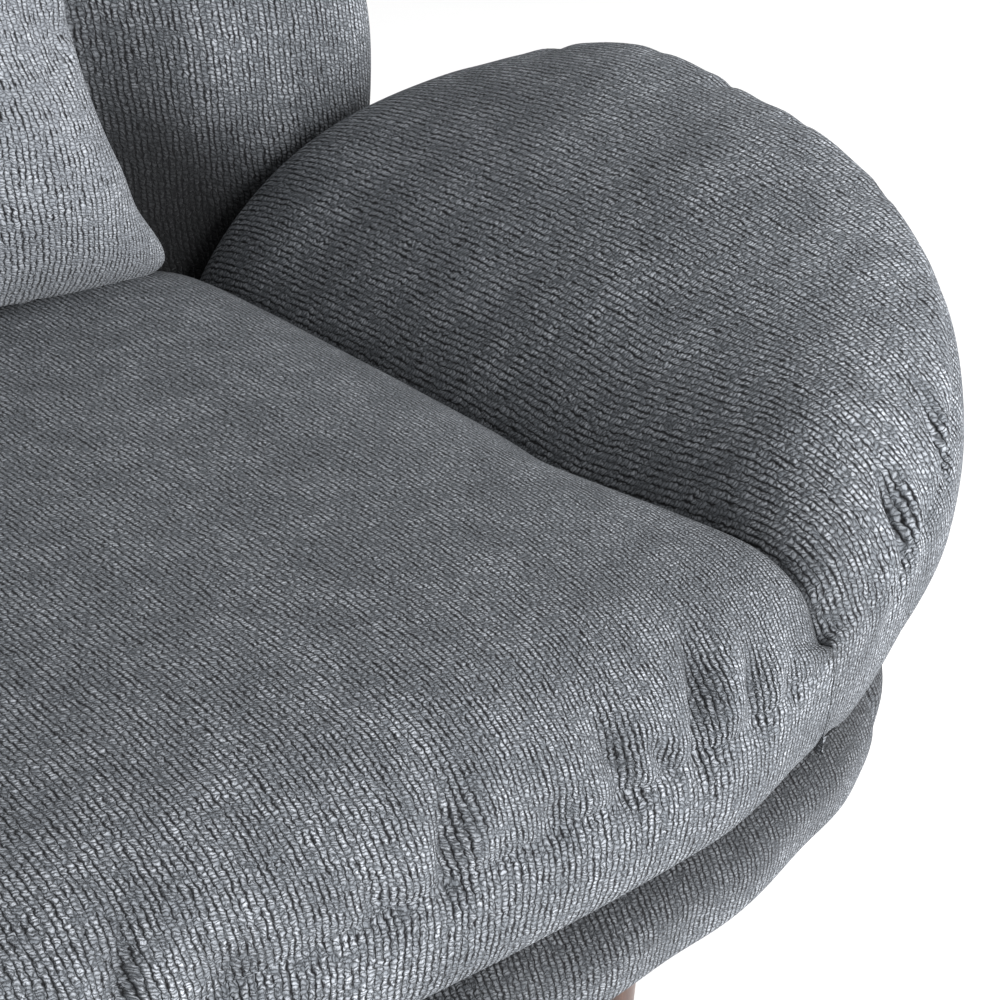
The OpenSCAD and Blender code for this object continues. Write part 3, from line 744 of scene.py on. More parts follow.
    def band(self, edge: Array, out: Array, inward: Array, z: Array, s: Array) -> Array:
        """Sections of the boxed band, from the rim seam down to the foot.

        Args:
            edge: Plan places of the seam, one for each section.
            out: Outward directions.
            inward: Directions in which the foot is drawn in.
            z: Heights of the seam.
            s: Lengths along the seam.

        Returns:
            Points, section by section.
        """
        share, down = through(BAND, 6).T
        s = np.abs(s)[:, None]
        # It swells less and its foot is drawn in where it turns the front corners
        past = s - self.corner_from
        gone = self.corner_gone * smooth((s - self.corner_to) / self.corner_fade)
        corner = smooth(past / self.corner_over) * (1 - gone)
        loose = smooth((s - self.tuck_to) / self.tuck_fade)
        tuck = self.tuck_in * smooth(past / self.tuck_over) * (1 - loose)
        swell = (share * (self.band_swell - self.corner_flat * corner) - down**2 * tuck)[..., None]
        # The foot is higher near the crease's end, where the cover is tight
        foot = self.band_h - self.tight_by * bell(s - self.tight_at, self.tight_w)
        place = edge[:, None] + np.where(swell > 0, out[:, None] * swell, -inward[:, None] * swell)
        return raised(place, z[:, None] - down * foot)

    def band_cloth(self, s: Array, from_seam: Array) -> Array:
        """Cloth places on the band, by lengths along the seam and distances from it, negative below it."""
        return join(s - BAND_LEAN * from_seam, from_seam + BAND_FROM)

    def drawn_ends(self, s: Array) -> Array:
        """How far a padded panel is drawn in beside the upright seams at its ends."""
        return self.end_draw * bell(from_ends(s), self.end_draw_w)[:, None]

    def place(self, points: Array) -> Array:
        """Move points from the drawing's middle to the row's origin."""
        return points + np.array([0, self.shift_y, 0])


@dataclass
class ArmRun:
    """Sections of an arm from front to rear, between two shares of the way round it."""

    plan: Outline
    start: float
    end: float
    count: int

    def __post_init__(self) -> None:
        """Work out each section's length along the rim, its rim, its crease and its height."""
        p = self.plan
        first, last = p.rim_run(p.crease_end + (p.arm_end - p.crease_end) * np.array([self.start, self.end]))
        self.s = np.linspace(first, last, self.count)
        self.angle = p.rim_angle(self.s)
        share = (self.angle - p.crease_end) / (p.arm_end - p.crease_end)
        self.to_rear = (1 - share) * p.crease_len
        self.behind = p.crease_len * share**p.crease_pace
        self.wall = p.wall_point(self.behind, 1, p.gap / 2)
        self.edge = p.rim(self.angle)
        self.inward = unit(self.wall - self.edge)
        self.dip = p.arm_dip * (1 - round_in(self.to_rear, p.arm_roll))
        self.z = p.rim_z(self.angle) - self.dip


# Puckers seen at the rim seam: place along it from the front middle, depth, half width, reach, lean
PUCKERS = (
    (-3, 3.5, 5.0, 16, -0.5),
    (28, 9.0, 6.0, 44, 0.2),
    (89, 5.0, 7.0, 18, 0.0),
    (130, 9.0, 6.0, 48, -0.18),
    (157, 6.0, 4.5, 24, -0.5),
    (178, 11.5, 6.5, 64, 0.22),
    (219, 8.5, 5.5, 36, 0.05),
    (245, 4.0, 5.0, 20, -0.2),
    (322, 3.0, 5.5, 22, 0.3),
    (362, 12.0, 5.5, 46, 0.85),
    (433, 7.5, 5.0, 26, 1.0),
)


@dataclass
class Puckers:
    """Drawn-in folds across the rim seam, with puffy shoulders, and the groove of the seam itself."""

    plan: Outline
    groove: float = 1.0
    groove_w: float = 3.0
    seen_left: float = 60
    unseen: tuple[float, float] = (-38, 60)
    band_share: float = 0.32
    peak: float = 0.42
    peak_w: float = 0.5
    soft_flank: float = 1.3
    steep_flank: float = 0.8
    soft_lobe: float = 0.42
    steep_lobe: float = 0.2
    lobe_at: float = 2.6
    lobe_w: float = 1.4
    deep: float = 7
    seed: int = 11
    folds: list[tuple[float, float, float, float, float]] = field(default_factory=list)

    def __post_init__(self) -> None:
        """Lay the seen folds along both sides and carry them on where the picture ends."""
        rng = np.random.default_rng(self.seed)
        for side in (1, -1):
            for s, depth, width, reach, lean in PUCKERS:
                if side > 0:
                    self.folds.append((s, depth, width, reach, lean))
                elif s > self.seen_left:
                    self.folds.append((rng.uniform(-14, 14) - s, depth, width, reach, -lean))
            s, end = (float(self.plan.rim_run(angle)) for angle in self.unseen)
            while s < end:
                strength = rng.uniform(0.1, 0.36)
                width, lean = rng.uniform(4.5, 7.5), rng.uniform(-0.3, 0.3)
                self.folds.append((side * s, self.deep * strength, width, 16 + 34 * strength, lean))
                s += rng.uniform(46, 96)

    def depth(self, s: Array, d: Array) -> Array:
        """How far the cover is drawn in.

        Args:
            s: Length along the rim seam.
            d: Distance from the seam, positive on the panel and negative on the band.

        Returns:
            Depth in millimetres, negative where a shoulder stands proud.
        """
        total = np.zeros(np.broadcast(s, d).shape)
        for at, depth, width, reach, lean in self.folds:
            near = s - at - lean * d
            # Deepest a little above the seam, and soon gone on the band below it
            above = bell(np.maximum(d, 0) / reach - self.peak, self.peak_w)
            fade = above * bell(np.maximum(-d, 0), reach * self.band_share, 1.6)
            wide = width * (1 + 0.5 * np.abs(d) / reach)
            # One steep and one soft flank, as cloth folds over a tight thread, and a lobe past the soft one
            right = near * np.sign(s) > 0
            flank = wide * np.where(right, self.soft_flank, self.steep_flank)
            total += depth * fade * bell(np.abs(near), flank, 1.5)
            lobe = np.where(right, self.soft_lobe, self.steep_lobe) * depth * fade
            total -= lobe * bell(np.abs(near) - self.lobe_at * wide, self.lobe_w * wide)
        rough = 0.75 + 0.5 * waves(s, d * 0, 5, 16)
        return total + self.groove * rough * bell(d, self.groove_w)


# Seat and arms


@dataclass
class SeatCover:
    """Crowned seat cushion: one panel with front-to-back wales and a boxed front band."""

    plan: Outline
    puckers: Puckers
    cloth: bpy.types.Material
    across: int = 185
    deep: int = 165
    crowded: float = 1.55
    crown_h: float = 147
    front_roll: float = 150
    side_roll: float = 120
    rear_roll: float = 90
    end_blend: float = 40
    rear_clear: float = 12
    sag_reach: float = 30
    lower_steps: tuple[float, float] = (30, 90)
    painted_shade: float = 0.035
    shadow: float = 0.45
    shadow_w: float = 7
    wale_tilt: float = 9.5
    tilt_from: float = 40
    tilt_over: float = 260
    tilt_gone: float = 0.8
    tilt_about: float = 180
    drawn: float = 0.9

    def height(self, x: Array, y: Array, z: Array, to_front: Array) -> Array:
        """Height of the panel over a plan point.

        Args:
            x: Across.
            y: Towards the rear.
            z: Height of the front seam there.
            to_front: Distance from the front seam.

        Returns:
            Height of the cover.
        """
        p = self.plan
        side = p.from_crease(x, y)
        rise = p.soft_z + self.crown_h - p.crease_z
        puff = round_in(side, self.side_roll) * round_in(to_front, self.front_roll)
        lifted = z + (p.crease_z - z) * round_in(to_front, p.crease_roll)
        lifted = lifted + p.crease_sag(to_front) * bell(np.maximum(side, 0), self.sag_reach)
        return lifted + rise * puff * round_in(p.seat_rear_y - y + self.rear_clear, self.rear_roll)

    def laid_across(self, top: Array, side: Array, from_seam: Array) -> Array:
        """Lay the cloth on the panel, its wales from front to rear and a little aslant on the left.

        Args:
            top: Points of the panel.
            side: Distance of each from the crease.
            from_seam: Distance of each from the front seam.

        Returns:
            Cloth places.
        """
        table = np.linspace(0, self.side_roll, 400)
        slope = np.gradient((self.crown_h - self.plan.crease_h) * round_in(table, self.side_roll), table)
        spare = np.cumsum((np.sqrt(1 + slope**2) - 1)[::-1])[::-1] * (table[1] - table[0])
        u = np.sign(top[..., 0]) * (np.abs(top[..., 0]) + np.interp(side, table, spare))
        straight = smooth((u - self.tilt_from) / self.tilt_over) * self.tilt_gone
        tilt = np.radians(self.wale_tilt * (1 - straight))
        u = u * np.cos(tilt) + (top[..., 1] + self.tilt_about) * np.sin(tilt)
        return join(u, from_seam) / self.drawn

    def build(self) -> bpy.types.Object:
        """Loft the cover from side to side.

        Returns:
            The finished cushion.
        """
        p = self.plan
        t = np.linspace(-1, 1, self.across)
        s = t * p.rim_run(p.crease_end)
        a = p.rim_angle(s)
        front, z = p.rim(a), p.rim_z(a)
        rear = join(t * p.seat_rear_w, p.seat_rear_y)
        for i in (0, -1):
            front[i] = p.wall_point(0, t[i], -p.gap / 2)
            rear[i] = p.wall_point(p.crease_len, t[i], -p.gap / 2)
        turn = smooth((abs(s[0]) - np.abs(s)) / self.end_blend)[:, None]
        along_crease = join(np.sign(t) * p.crease_dir[0], p.crease_dir[1])
        out = unit(along_crease * (1 - turn) + p.rim_out(a) * turn)
        back = unit(rear - front)
        share = np.linspace(0, 1, self.deep) ** self.crowded
        q = front[:, None] + (rear - front)[:, None] * share[:, None]
        to_front = np.linalg.norm(q - front[:, None], axis=-1)
        top = raised(q, self.height(q[..., 0], q[..., 1], z[:, None], to_front))
        section = np.concatenate([top[:, :0:-1], p.band(front, out, back, z, s)], 1)
        seam = self.deep - 1
        run = run_length(section, 1)
        from_seam = run[:, seam : seam + 1] - run
        held = smooth((1 - np.abs(t)) * 14)[:, None] * smooth((run[:, -1:] - run) / 10) * smooth(run / 40)
        x, y = section[..., 0], section[..., 1]
        soft = 0.3 * waves(x, y + from_seam * 0.3, 3, 46) + 0.6 * waves(x, y, 4, 130)
        folds = self.puckers.depth(s[:, None], from_seam)
        depth = (folds - soft * smooth(np.abs(from_seam) / 30)) * held
        section = draw_in(section, depth)
        side = p.from_crease(section[..., 0], section[..., 1])[:, : seam + 1]
        section = p.place(section)
        top, band = section[:, : seam + 1], section[:, seam:]
        # Painted shade in the pucker valleys and beside the crease, and a painted highlight along the front
        # seam
        painted_light = 1 - self.painted_shade * folds + 0.1 * bell(from_seam, 50)
        painted_light[:, : seam + 1] -= self.shadow * np.exp(-np.abs(side) / self.shadow_w)
        skin = Skin("seat_cover")
        skin.add(top, self.laid_across(top, side, from_seam[:, : seam + 1]), painted_light=painted_light[:, : seam + 1])
        skin.add(band, p.band_cloth(s[:, None], from_seam[:, seam:]), painted_light=painted_light[:, seam:])
        # Flat behind the foot, so that nothing hangs below it where the seam has begun to rise
        levels = np.maximum(p.soft_z, band[:, -1, 2] - 1), p.soft_z, p.soft_z
        places = *(front + back * step for step in self.lower_steps), rear
        below = [p.place(raised(place, level)) for place, level in zip(places, levels)]
        under = np.stack([band[:, -1], *below, top[:, 0]], 1)
        return skin.add(under, under[..., [0, 1]]).build(self.cloth)


@dataclass
class ArmCover:
    """Petal arm: a domed panel between the straight crease and the rising rim seam, and its band."""

    plan: Outline
    puckers: Puckers
    cloth: bpy.types.Material
    side: Side
    along: int = 235
    across: int = 125
    stuffing: float = 42
    full_width: float = 170
    step_in: float = 71
    narrow_from: float = 40
    narrow_over: float = 80
    first: float = 0.001
    end_blend: float = 40
    tip_width: float = 20
    tangent: float = 30
    cloth_from: float = 40
    painted_shade: float = 0.035
    drawn: float = 1.18

    def laid_along(self, panel: Array) -> Array:
        """Lay the cloth on the panel with its wales beside the crease, where the panel's straight cut is.

        Args:
            panel: Points of the panel, from front to rear and from the crease outwards.

        Returns:
            Cloth places.
        """
        clear = int(np.argmax(run_length(panel, 1)[:, -1] > self.tip_width))
        normal = -normals_of(panel)
        normal[:clear] = normal[clear]
        crease = panel[:, 0]
        length = run_length(crease, 0)
        ahead, behind = (
            join(*(np.interp(length + reach, length, axis) for axis in crease.T))
            for reach in (self.tangent, -self.tangent)
        )
        heading = unit(ahead - behind)
        u, v = np.zeros(panel.shape[:2]), np.repeat(length[:, None], panel.shape[1], 1)
        for j in range(1, panel.shape[1]):
            way = join(*(np.interp(v[:, j - 1], length, axis) for axis in heading.T))
            face = unit(normal[:, j - 1] + normal[:, j])
            along = unit(way - face * (way * face).sum(-1, keepdims=True))
            step = panel[:, j] - panel[:, j - 1]
            u[:, j] = u[:, j - 1] + (step * np.cross(along, face)).sum(-1)
            v[:, j] = v[:, j - 1] + (step * along).sum(-1)
        return join(u + self.cloth_from, v) / self.drawn

    def underside(self, section: Array, run: ArmRun, width: Array) -> Array:
        """Step back under the band, where the bent board and the outside panel stand.

        Args:
            section: Points of panel and band.
            run: The arm's sections.
            width: Width of the panel at each.

        Returns:
            Points from the foot to the crease.
        """
        p = self.plan
        # Flat behind the foot at the tip, where the cover is too narrow for a step
        narrow = 1 - smooth((width - self.narrow_from) / self.narrow_over)
        level = p.soft_z + (section[:, -1, 2] - 0.5 - p.soft_z) * narrow
        step = np.minimum(self.step_in, 0.6 * width)
        rows = [section[:, -1]]
        for inset, height in ((step, np.maximum(run.z - p.seam_h, level)), (step + 1, level)):
            rows.append(raised(run.edge + run.inward * np.minimum(inset, 0.9 * width)[:, None], height))
        return np.stack([*rows, raised(run.wall, level), section[:, 0]], 1)

    def build(self) -> bpy.types.Object:
        """Loft the arm from its front tip to its rear end.

        Returns:
            The finished cushion.
        """
        p = self.plan
        run = ArmRun(p, self.first, 1, self.along)
        width = np.linalg.norm(run.edge - run.wall, axis=1)
        turn = smooth(width / self.end_blend)[:, None]
        out = unit(p.crease_dir * (1 - turn) + p.rim_out(run.angle) * turn)
        drawn_in = unit(run.inward * turn - p.crease_dir * (1 - turn))
        low = (p.crease_height(run.behind) - run.dip)[:, None]
        f = (1 - np.cos(np.linspace(0, math.pi, self.across))) / 2
        fill = np.sin(math.pi * f**0.85).clip(0) ** 0.7 * np.minimum(1, width / self.full_width)[:, None]
        q = run.wall[:, None] + (run.edge - run.wall)[:, None] * f[:, None]
        panel = raised(q, low + (run.z[:, None] - low) * f + self.stuffing * fill)
        section = np.concatenate([panel, p.band(run.edge, out, drawn_in, run.z, run.s)[:, 1:]], 1)
        seam = self.across - 1
        down = run_length(section, 1)
        from_seam = down[:, seam : seam + 1] - down
        ends = (smooth(run.to_rear / p.crease_len * 12) * smooth(width / 30))[:, None]
        held = smooth(down / 30) * smooth((down[:, -1:] - down) / 10) * ends
        seed = 20 if self.side is Side.RIGHT else 30
        x, y, z = np.moveaxis(section, -1, 0)
        soft = 0.45 * waves(x, y + 0.6 * z, seed, 52) + 1.1 * waves(y, z - 0.5 * x, seed + 1, 150)
        along = run.s[:, None] * self.side.value
        folds = self.puckers.depth(along, from_seam)
        weave = self.laid_along(section[:, : seam + 1])
        section = draw_in(section, (folds - soft * smooth(np.abs(from_seam) / 30)) * held)
        under = self.underside(section, run, width)
        # Painted shade towards the crease, deepest right at it, and in the pucker valleys, and a painted
        # highlight along the rim seam
        painted_light = 0.7 + 0.3 * smooth(down / 120) + 0.2 * bell(from_seam, 60)
        painted_light -= self.painted_shade * folds + 0.25 * np.exp(-down / 9)
        shown, under_shown = (p.place(grid) * self.side.mirror for grid in (section, under))
        flip = self.side is Side.LEFT
        skin = Skin(f"arm_cover_{self.side.word}")
        skin.add(shown[:, : seam + 1], weave, flip, painted_light[:, : seam + 1])
        skin.add(shown[:, seam:], p.band_cloth(along, from_seam[:, seam:]), flip, painted_light[:, seam:])
        return skin.add(under_shown, under[..., [1, 2]], flip).build(self.cloth)


# Forms round a middle


def ring_place(turn: Array) -> tuple[Array, Array]:
    """Place on the edge of a square of half width 1.

    Args:
        turn: Way round, -1 to 1 on the right side, 1 to 3 on top, 3 to 5 left, 5 to 7 below.

    Returns:
        Places across and up.
    """
    t = (np.asarray(turn, float) + 1) % 8 - 1
    k = np.floor((t + 1) / 2)
    along = t - 2 * k
    across = np.select([k == 0, k == 1, k == 2], [1 + 0 * t, -along, -1 + 0 * t], along)
    up = np.select([k == 0, k == 1, k == 2], [along, 1 + 0 * t, -along], -1 + 0 * t)
    return across, up


def squared(across: Array, up: Array, n: Array | float) -> tuple[Array, Array]:
    """Pull a square ring onto a squared circle of radius 1.

    Args:
        across: Place across on the square.
        up: Place up on the square.
        n: Squareness, 2 for a circle.

    Returns:
        Places on the squared circle.
    """
    size = np.maximum(np.maximum(np.abs(across), np.abs(up)), 1e-9)
    minor = np.minimum(np.abs(across), np.abs(up)) / size * 0.5 ** (1 / n)
    major = (1 - minor**n) ** (1 / n)
    wide = np.abs(across) >= np.abs(up)
    return np.sign(across) * np.where(wide, major, minor), np.sign(up) * np.where(wide, minor, major)


def turn_of(a: float, n: float) -> float:
    """Way round a squared circle of an angle in the part's source."""
    k = round(a / 90)
    rest = a - 90 * k
    size = (math.sin(math.radians(abs(rest))) / math.sin(math.pi / 4)) ** (2 / n)
    return 2 * k + math.copysign(size, rest)


def lean(points: Array, angle: float, y: float, z: float) -> Array:
    """Turn a form drawn upright into its lean.

    Args:
        points: Across, forwards, up the lean.
        angle: Degrees from upright.
        y: Plan place of the foot.
        z: Height of the foot.

    Returns:
        Points in the drawing's frame.
    """
    c, s = math.cos(math.radians(angle)), math.sin(math.radians(angle))
    x, f, h = points[..., 0], points[..., 1], points[..., 2]
    return join(x, y + h * s - f * c, z + h * c + f * s)


def face_grid(count: int, even: float = 0.45) -> tuple[Array, Array, Array]:
    """Square grid of rings, closer together at the edge.

    Args:
        count: Points along each side.
        even: Share of even spacing.

    Returns:
        Places across and up on square rings of size 1, and the ring's share of the full size.
    """
    g = np.linspace(-1, 1, count)
    across, up = np.meshgrid(g, g)
    size = np.maximum(np.abs(across), np.abs(up))
    share = even * size + (1 - even) * np.sin(size * math.pi / 2)
    return across, up, share


def developed(x: Array, z: Array, share: Array, half: tuple[float, float], bulge: Callable) -> Array:
    """Cloth places of a crowned face, whose wales keep their spacing over the rounded edges.

    Args:
        x: Across.
        z: Up.
        share: Ring share of each point.
        half: Half the width and half the height.
        bulge: Gives the height of the face at a ring share.

    Returns:
        Cloth places, in millimetres.
    """
    step = np.linspace(0, 1, 300)
    rise = np.diff(bulge(step))
    near_side = (x / half[0]) ** 2 / ((x / half[0]) ** 2 + (z / half[1]) ** 2 + 1e-6)
    out = []
    for place, size, weight in ((x, half[0], near_side), (z, half[1], 1 - near_side)):
        length = np.cumsum(np.hypot(np.diff(step) * size, rise))
        stretch = np.interp(share, step[1:], length / (size * step[1:]))
        out.append(place * (1 + (stretch - 1) * weight))
    return join(*out)


# Back


@dataclass
class BackLean:
    """Sizes that every part of the leaning back shares."""

    plan: Outline
    angle: float = 12
    height: float = 600
    half_w: float = 412
    edge_t: float = 76
    crown: float = 76
    frame_depth: float = 45
    outside_t: float = 26
    square: float = 3.2
    foot_square: float = 6
    low: float = 20
    narrower: float = 12
    foot_y: float = 376

    def place(self, points: Array) -> Array:
        """Lean points back and move them to the row's frame."""
        return self.plan.place(lean(points, self.angle, self.foot_y, self.plan.soft_z))

    def shell(self, turn: Array, less: Array | float, share: Array | float = 1.0) -> tuple[Array, Array]:
        """Outline of the outside back and its borders.

        Args:
            turn: Way round.
            less: How far inside the outline.
            share: Ring share.

        Returns:
            Places across and up the lean.
        """
        across, up = ring_place(turn)
        n = 2 + (np.where(up < 0, self.foot_square, self.square) - 2) * share**2
        x, z = squared(across, up, n)
        half_h = (self.height - self.low) / 2
        middle = (self.height + self.low) / 2
        return (self.half_w - self.narrower - less) * x * share, middle + (half_h - less) * z * share


@dataclass
class BackCover:
    """Tall back cushion: a crowned face and a rounded boxed side whose wales run round it."""

    back: BackLean
    cloth: bpy.types.Material
    count: int = 185
    drawn: float = 1.3
    edge_r: float = 6
    flat_rear: float = 8
    side_from: float = 900
    girth_at: int = 8
    pillow_w: float = 190
    pillow_waist: float = 74
    waist_power: float = 2.4
    pillow_h: float = 363
    pillow_foot: float = 391
    shade: float = 150
    shade_edge: float = 50
    shade_top: float = 280
    shade_fade: float = 230
    painted_shade: float = 0.88

    def push(self, points: Array) -> Array:
        """Give the stuffing its soft unevenness, the same for every patch."""
        b = self.back
        middle = np.array([0, b.edge_t / 2, b.height / 2])
        size = np.array([b.half_w, b.edge_t, b.height / 2])
        way = unit((points - middle) / size**1.5)
        x, y, z = np.moveaxis(points, -1, 0)
        soft = 2.6 * waves(x, z, 41, 120) + 1.5 * waves(x, z, 42, 50)
        return points + way * ((soft - 1.5) * smooth((y - self.edge_r) / 40))[..., None]

    def pocket_shade(self, points: Array) -> Array:
        """Say where painted shade darkens the pocket beside the pillow, from 0 to 1."""
        up = points[..., 2] - self.pillow_foot
        level = np.clip(up * 2 / self.pillow_h - 1, -1, 1)
        edge = self.pillow_w - self.pillow_waist * (1 - np.abs(level) ** self.waist_power)
        beside = smooth((edge + self.shade - np.abs(points[..., 0])) / (self.shade - self.shade_edge))
        return beside * smooth((self.shade_top - up) / self.shade_fade)

    def build(self) -> bpy.types.Object:
        """Make the face, the side and the flat rear.

        Returns:
            The finished cushion.
        """
        b = self.back
        across, up, share = face_grid(self.count)
        x, z = squared(across, up, 2 + (b.square - 2) * share**2)
        half = b.half_w - self.edge_r, b.height / 2 - self.edge_r
        x, z = half[0] * x * share, half[1] * z * share
        face = join(x, b.edge_t + b.crown * np.sqrt(1 - share**4), b.height / 2 + z)
        weave = developed(x, z, share, half, lambda step: b.crown * np.sqrt(1 - step**4))
        shown = b.place(self.push(face))
        # A painted highlight towards the face's rounded edge, and painted shade in the pocket beside the
        # pillow
        painted_light = 1 + 0.3 * smooth((share - 0.8) / 0.2)
        painted_light *= 1 - self.painted_shade * self.pocket_shade(shown)
        # Painted shade as well in the corner above seat and arm
        painted_light *= 0.35 + 0.65 * smooth((shown[..., 2] - self.pillow_foot - 10) / 110)
        skin = Skin("back_cushion_cover").add(shown, weave / self.drawn, painted_light=painted_light)
        turn = np.linspace(-1, 7, 4 * (self.count - 1) + 1)[:, None]
        profile = through(((self.edge_r, 1), (1, 0.8), (0, 0.5), (2, 0.2), (self.flat_rear, 0)), 5)
        less, depth = profile.T
        x, z = squared(*ring_place(turn), b.square)
        side = join((b.half_w - less) * x, b.edge_t * depth, b.height / 2 + (b.height / 2 - less) * z)
        girth = run_length(side[:, self.girth_at], 0)[:, None]
        cloth = join(run_length(side, 1) + self.side_from, girth) / self.drawn
        # The boxed side gets a painted highlight all over
        return skin.add(b.place(self.push(side)), cloth, painted_light=1.3).build(self.cloth)


@dataclass
class OutsideBack:
    """Padded outside back and the three borders round the back frame."""

    back: BackLean
    cloth: bpy.types.Material
    border_t: float = 18
    gap: float = 0.4
    seam: float = 0.1
    edge_r: float = 3
    edge_run: float = 9

    def shell(self) -> bpy.types.Object:
        """Make the padded rear panel.

        Returns:
            The finished panel.
        """
        b = self.back
        # Inset from the outline, ring share, share of the thickness
        rim = (3, 1, 0), (0, 1, 0.3), (6, 1, 0.75)
        face = (3, 0.9, 1), (1, 0.6, 1.2), (0, 0.3, 1.27), (0, 0.004, 1.3)
        less, share, thick = through((*rim, *face), 14).T
        x, z = b.shell(np.linspace(-1, 7, 521)[:, None], less, share)
        soft = waves(x, z, 51, 120) * 2.2 * smooth((1 - share) * 8)
        points = join(x, -b.frame_depth - self.gap - b.outside_t * thick + soft, z)
        middle = points[:, -1:, [0, 2]]
        # Laid flat from the middle out and pulled on over the edge
        run = run_length(points[:, ::-1], 1)[:, ::-1, None]
        around = middle + unit(points[:, :1, [0, 2]] - middle) * run
        return Skin("outside_back_cover").add(b.place(points), around).build(self.cloth)

    def border(self, name: str, start: float, end: float) -> bpy.types.Object:
        """Make one padded border.

        Args:
            name: Name of the piece.
            start: Angle where it starts.
            end: Angle where it ends.

        Returns:
            The finished border.
        """
        b = self.back
        square = [b.foot_square if math.sin(math.radians(a)) < 0 else b.square for a in (start, end)]
        first, last = turn_of(start + self.seam, square[0]), turn_of(end - self.seam, square[1])
        turn = np.linspace(first, last, 190)[:, None]
        front, rear = -self.gap, -b.frame_depth
        # From the inner front edge over the outside to the inner rear edge: inset, depth
        edge = ((self.border_t, front), (self.edge_run, front), (self.edge_r, front - self.edge_r))
        back = ((self.edge_r, rear + self.edge_r), (self.edge_run, rear), (self.border_t, rear))
        less, y = through((*edge, (0, (front + rear) / 2), *back), 6).T
        x, z = b.shell(turn, less + 0.6 * waves(turn * 90, y, 61, 40))
        points = join(x, np.clip(y, rear, front), z)
        middle = len(y) // 2
        weave = join(run_length(points, 1), run_length(points[:, middle], 0)[:, None])
        inner = b.place(points[:, [-1, 0]])
        return Skin(name).add(b.place(points), weave).add(inner, inner[..., [0, 2]]).build(self.cloth)


# Lumbar pillow


@dataclass
class LumbarPillow:
    """Loose knife-edged pillow, its sides drawn in between the corners, leaning on the back cushion."""

    plan: Outline
    cloth: bpy.types.Material
    width: float = 380
    height: float = 372
    front: float = 104
    rear: float = 28
    belly: float = 0.3
    waist: float = 74
    waist_power: float = 2.4
    foot_waist: float = 6
    angle: float = 12.5
    foot_y: float = 217.6
    foot_z: float = 390.7
    square: float = 9
    count: int = 101
    wale_tilt: float = 3.5
    drawn: float = 1.06
    fullness: float = 2.6
    knife: float = 0.72
    bump: float = 2.2
    bump_less: float = 2.0
    rear_near: float = 30
    foot_near: float = 90

    def place(self, points: Array) -> Array:
        """Stand the pillow on the seat and lean it back."""
        up = points + np.array([0, 0, self.height / 2])
        return self.plan.place(lean(up, self.angle, self.foot_y, self.foot_z))

    def puff(self, share: Array) -> Array:
        """How full the pillow is at a ring share, 1 in the middle and 0 at the edge seam."""
        return (1 - share**self.fullness).clip(0) ** self.knife

    def face(self, bulge: float) -> tuple[Array, Array]:
        """Shape one face.

        Args:
            bulge: How far its middle stands off the edge seam, negative at the rear.

        Returns:
            Points and cloth places.
        """
        across, up, share = face_grid(self.count, 0.5)
        x, z = squared(across, up, 2 + (self.square - 2) * share**2)
        half = self.width / 2 - self.waist * share * (1 - np.abs(z * share) ** self.waist_power)
        tall = self.height / 2 - self.foot_waist * share * (1 - (x * share) ** 2)
        x, z = x * half * share, z * tall * share
        belly = 1 + self.belly * smooth(-z / self.height * 2) * (bulge > 0)
        points = join(x, bulge * self.puff(share) * belly, z)
        size = self.width / 2, self.height / 2
        u, v = np.moveaxis(developed(x, z, share, size, lambda step: abs(bulge) * self.puff(step)), -1, 0)
        c, s = math.cos(math.radians(self.wale_tilt)), math.sin(math.radians(self.wale_tilt))
        return points, join(c * u + s * v, c * v - s * u) / self.drawn

    def build(self) -> bpy.types.Object:
        """Make the pillow, inflate it as cloth and keep it clear of seat and back.

        Returns:
            The finished pillow.
        """
        skin = Skin("lumbar_pillow_cover")
        for bulge, flip in ((self.front, False), (-self.rear, True)):
            points, weave = self.face(bulge)
            full = smooth(np.abs(points[..., 1]) / 30)
            soft = self.bump * waves(points[..., 0], points[..., 2], 71, 60) * full
            points[..., 1] += (soft - self.bump_less * full) * np.sign(bulge)
            skin.add(self.place(points), weave, flip)
        piece = skin.build(self.cloth)
        inflate(piece, pressure=4.0, frames=20, cap=6.0, hold=self.near_neighbours)
        return piece

    def near_neighbours(self, points: Array) -> Array:
        """Say where the pillow rests on seat or back, and so can't swell, from 0 to 1."""
        c, s = math.cos(math.radians(self.angle)), math.sin(math.radians(self.angle))
        y = points[:, 1] - self.plan.shift_y - self.foot_y
        z = points[:, 2] - self.foot_z
        forwards, up = -y * c + z * s, y * s + z * c
        return np.maximum(smooth((self.rear_near - forwards) / 20), smooth((self.foot_near - up) / 40))


def vertex_values(mesh: bpy.types.Mesh, name: str) -> Array:
    """Read a vector of every vertex, such as its place."""
    values = np.empty(len(mesh.vertices) * 3, np.float32)
    mesh.vertices.foreach_get(name, values)
    return values.reshape(-1, 3)


